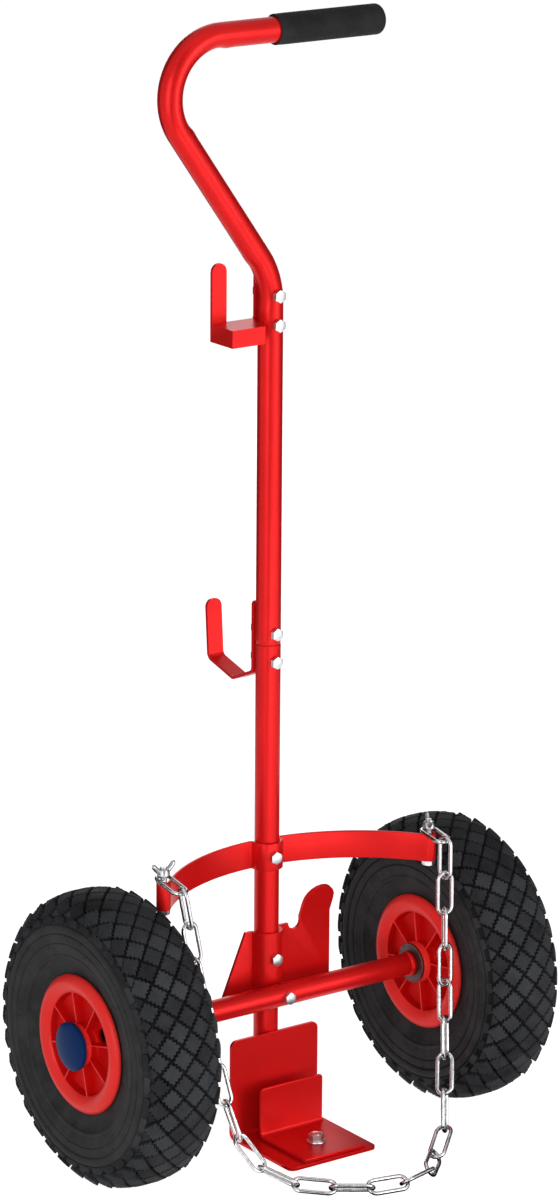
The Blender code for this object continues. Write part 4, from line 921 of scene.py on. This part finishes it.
# Bolts and nuts: zinc plated steel with chamfered hexagons. They clamp the axle, the bracket, the strap
# and the hooks to the post, and their threads show behind the nuts.
BOLT_RADIUS = 0.003
BOLT_FLATS = 0.010
BOLT_HEAD = 0.004
NUT_HEIGHT = 0.005
BOLT_PROTRUSION = 0.002
THREAD_PITCH = 0.001
THREAD_DEPTH = 0.0005
THREAD_LENGTH = 0.012
HEX_CROWN = 0.96
HEX_SLOPE = radians(30)
HEX_BORE_EDGE = 0.0005
BRACKET_BOLT_HEIGHT = 0.160
HOOK_BOLT_HEIGHTS = {"upper": (0.7305, 0.756), "lower": (0.432, 0.4575)}
SHEET = 0.003
PLATE_PLANE = 0.0128
along_y = Matrix(((1, 0, 0, 0), (0, 0, 1, 0), (0, -1, 0, 0), (0, 0, 0, 1)))


def hexagon(flats, bottom, top, bore=0.0):
    """A hexagon with its upper corners turned off by a cone, seated at bottom; a nut has a bore."""
    turns = 2 * pi * np.arange(60) / 60
    outline = flats / 2 / np.cos((turns + pi / 6) % (pi / 3) - pi / 6)
    crown = flats / 2 * HEX_CROWN
    way = 1 if top > bottom else -1
    drop = (outline - crown) * tan(HEX_SLOPE)

    def ring(radius, height):
        radius = np.broadcast_to(radius, turns.shape)
        height = np.broadcast_to(height, turns.shape)
        return np.stack([radius * np.cos(turns), radius * np.sin(turns), height], axis=1)

    rows = [ring(bore, bottom), ring(outline, bottom), ring(outline, top - way * drop), ring(crown, top)]
    if bore:
        rows += [ring(bore + HEX_BORE_EDGE, top), ring(bore, top - way * HEX_BORE_EDGE)]
    else:
        rows.append(ring(0, top))
    return grid(rows, bool(bore), True)


def threaded(radius, bottom, start, end):
    """A shank from bottom to end, with a thread from start."""
    profile = [(0, bottom), (radius, bottom), (radius, start)]
    for i in range(int((end - start - 0.0008) / THREAD_PITCH)):
        profile += [(radius - THREAD_DEPTH, start + (i + 0.5) * THREAD_PITCH),
                    (radius, start + (i + 1) * THREAD_PITCH)]
    return turned(profile + [(radius - 0.0006, end), (0, end)], 24)


def bolt(name, node, place, grip):
    """A hexagon bolt: its head is seated at local zero and its shank runs along local Z."""
    shapes = [hexagon(BOLT_FLATS, 0, -BOLT_HEAD), threaded(BOLT_RADIUS, -0.001, grip - THREAD_LENGTH, grip)]
    piece(name, shapes, zinc, "frame", [node], place)


def nut(name, node, place):
    """A hexagon nut seated at local zero."""
    piece(name, [hexagon(BOLT_FLATS, 0, NUT_HEIGHT, BOLT_RADIUS + FIT)], zinc, "frame", [node], place)


rear_seat = POST_RADIUS + FIT
for label, front, base in (
        ("axle", AXLE_FORWARD + AXLE_RADIUS + FIT, Matrix.Translation((0, 0, WHEEL_RADIUS))),
        ("bracket", PLATE_PLANE + SHEET / 2 + FIT, Matrix.Translation((0, 0, BRACKET_BOLT_HEIGHT))),
        ("cradle", STRAP_SADDLE + STRAP_THICKNESS / 2 + FIT, cradle_place)):
    grip = front + rear_seat + FIT + NUT_HEIGHT + BOLT_PROTRUSION
    bolt(label + "_screw", label + "_bolt", base @ Matrix.Translation((0, -front, 0)) @ along_y, grip)
    nut(label + "_hexnut", label + "_nut", base @ Matrix.Translation((0, rear_seat, 0)) @ along_y)
hook_grip = rear_seat + PLATE_PLANE + SHEET / 2 + NUT_HEIGHT + BOLT_PROTRUSION
for label, heights in HOOK_BOLT_HEIGHTS.items():
    for number, height in enumerate(heights, 1):
        base = Matrix.Translation((0, -rear_seat, height))
        bolt("%s_screw_%d" % (label, number), "%s_hook_bolt_%d" % (label, number), base @ along_y, hook_grip)

# Stop bolt: a countersunk screw of zinc plated steel, put up through the toe plate, with a flanged nut
# on the stop.
STOP_RADIUS = 0.004
STOP_FLATS = 0.012
STOP_PROUD = 0.0067
STOP_SPOT = Matrix.Translation((0.004, -0.0718, 0))
nut_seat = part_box("stop_nut")[0].z
stop_top = nut_seat + STOP_PROUD
stop_head = [(0, 0.0003), (0.0059, 0.0003), (0.0062, 0.0006), (STOP_RADIUS, 0.0024), (0, 0.0024)]
stop_shapes = [threaded(STOP_RADIUS, 0.0022, 0.006, stop_top), turned(stop_head, 32)]
piece("stop_screw", stop_shapes, zinc, "frame", ["stop_bolt"], STOP_SPOT)
flange = [(0.0043, nut_seat), (0.0083, nut_seat), (0.0085, nut_seat + 0.0004), (0.0083, nut_seat + 0.0009),
          (0.0064, nut_seat + 0.0018), (0.0043, nut_seat + 0.0018)]
stop_nut_shapes = [turned(flange, 48, closed=True),
                   hexagon(STOP_FLATS, nut_seat + 0.0012, nut_seat + 0.0070, STOP_RADIUS + FIT)]
piece("stop_flange_nut", stop_nut_shapes, zinc, "frame", ["stop_nut"], STOP_SPOT)

# Wing nuts and eye bolts: a plated bolt stands in each rolled eye, and a cast wing nut on it holds the
# end link of the chain. The wings are stout horns that rise outwards.
WING_BASE = 0.0055
WING_HEIGHT = 0.006
WING_ROOT = (0.0018, 0.0032)
WING_REACH = 0.0098
WING_LIFT = 0.0082
WING_STOUT = 0.0026
WING_TAPER = 0.0004
WING_BLUNT = 0.82
WING_TIP = 0.185
wing_turns = {"left": radians(8), "right": radians(65)}
cast_zinc = plated("cast_zinc", (0.46, 0.46, 0.47, 1), (0.32, 0.33, 0.34, 1), 0.26, 0.44)


def wing(side):
    """One wing: a stout round horn that leans out from the base and rises to a blunt tip."""
    share = np.linspace(0, 1, 21)
    out = WING_ROOT[0] + WING_REACH * share
    up = WING_ROOT[1] + WING_LIFT * share ** 1.8
    spine = np.stack([side * out, 0 * share, up], axis=1)
    stout = WING_STOUT - WING_TAPER * share
    stout *= np.sqrt(1 - (np.clip(share - WING_BLUNT, 0, None) / WING_TIP) ** 2)
    ring = np.array([(cos(turn), 0.9 * sin(turn)) for turn in np.linspace(0, 2 * pi, 16, endpoint=False)])
    return swept(spine, (0, 1, 0), stout[:, None, None] * ring)


wing_bore = BOLT_RADIUS + FIT
wing_base = [(wing_bore, 0), (WING_BASE - 0.0004, 0), (WING_BASE, 0.0004), (WING_BASE - 0.0002, 0.0030),
             (WING_BASE - 0.0010, WING_HEIGHT - 0.0004), (WING_BASE - 0.0014, WING_HEIGHT),
             (wing_bore, WING_HEIGHT)]
wing_shapes = [turned(wing_base, 32, closed=True), wing(-1), wing(1)]
for label in ("left", "right"):
    low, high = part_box("wing_nut_" + label)
    spot = Vector(((low.x + high.x) / 2, (low.y + high.y) / 2, low.z))
    turn = Matrix.Rotation(CRADLE_YAW + wing_turns[label], 4, "Z")
    piece("wing_" + label + "_nut", wing_shapes, cast_zinc, "wing_" + label, ["wing_nut_" + label],
          Matrix.Translation(spot) @ turn)
    low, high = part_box("eye_bolt_" + label)
    seat = Vector(((low.x + high.x) / 2, (low.y + high.y) / 2, low.z + BOLT_HEAD))
    upright = Matrix.Translation(seat) @ Matrix.Rotation(CRADLE_YAW, 4, "Z")
    bolt("eye_screw_" + label, "eye_bolt_" + label, upright, high.z - seat.z)

# Safety chain: welded links of bright galvanised wire. The end links are held under the wing nuts, and
# the slack chain hangs from them to the floor. Each link is set where its CAD node lies.
LINK_WIRE = 0.0018
LINK_INSIDE = 0.0335
LINK_HALF = 0.0067
LINK_COUNT = 23
LINK_WELD = 0.10
LINK_WELD_SPREAD = 0.0016
galvanised = plated("galvanised", (0.66, 0.66, 0.67, 1), (0.48, 0.49, 0.50, 1), 0.18, 0.30)
straight = LINK_INSIDE / 2 + LINK_WIRE - LINK_HALF
link_line = arc((straight, 0), LINK_HALF, -pi / 2, pi / 2, 14)
link_line += [(straight * (0.6 - 0.2 * i), LINK_HALF) for i in range(7)]
link_line += arc((-straight, 0), LINK_HALF, pi / 2, 3 * pi / 2, 14)
link_line += [(straight * x, -LINK_HALF) for x in (-0.6, -0.2, 0.2, 0.6)]
link_path = np.array([(x, y, 0) for x, y in link_line])
weld_swell = 1 + LINK_WELD * np.exp(-(link_path[:, 0] / LINK_WELD_SPREAD) ** 2)
weld_bulge = np.where(link_path[:, 1] > 0, weld_swell, 1)
wire_turns = 2 * pi * np.arange(14) / 14
wire = LINK_WIRE * np.stack([np.cos(wire_turns), np.sin(wire_turns)], axis=1)
link_shape = swept(link_path, (0, 0, 1), weld_bulge[:, None, None] * wire, closed=True)
link_nodes = ["chain_end_left", "chain_end_right"] + ["chain_link_%02d" % (i + 1) for i in range(LINK_COUNT)]
for node in link_nodes:
    corners = np.array([tuple(corner.co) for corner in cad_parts[node].data.vertices])
    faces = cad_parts[node].data.polygons
    centres = np.array([tuple(face.center) for face in faces])
    spread_of = np.cov(centres.T, aweights=[face.area for face in faces])
    axes = np.linalg.eigh(spread_of)[1][:, ::-1].T
    reach = corners @ axes.T
    middle = (reach.min(axis=0) + reach.max(axis=0)) / 2 @ axes
    axes[2] = np.cross(axes[0], axes[1])
    place = Matrix.Translation(middle) @ Matrix(axes.tolist()).transposed().to_4x4()
    body = "frame" if node.startswith("chain_end") else "chain"
    piece(node.replace("chain", "wire"), [link_shape], galvanised, body, [node], place)
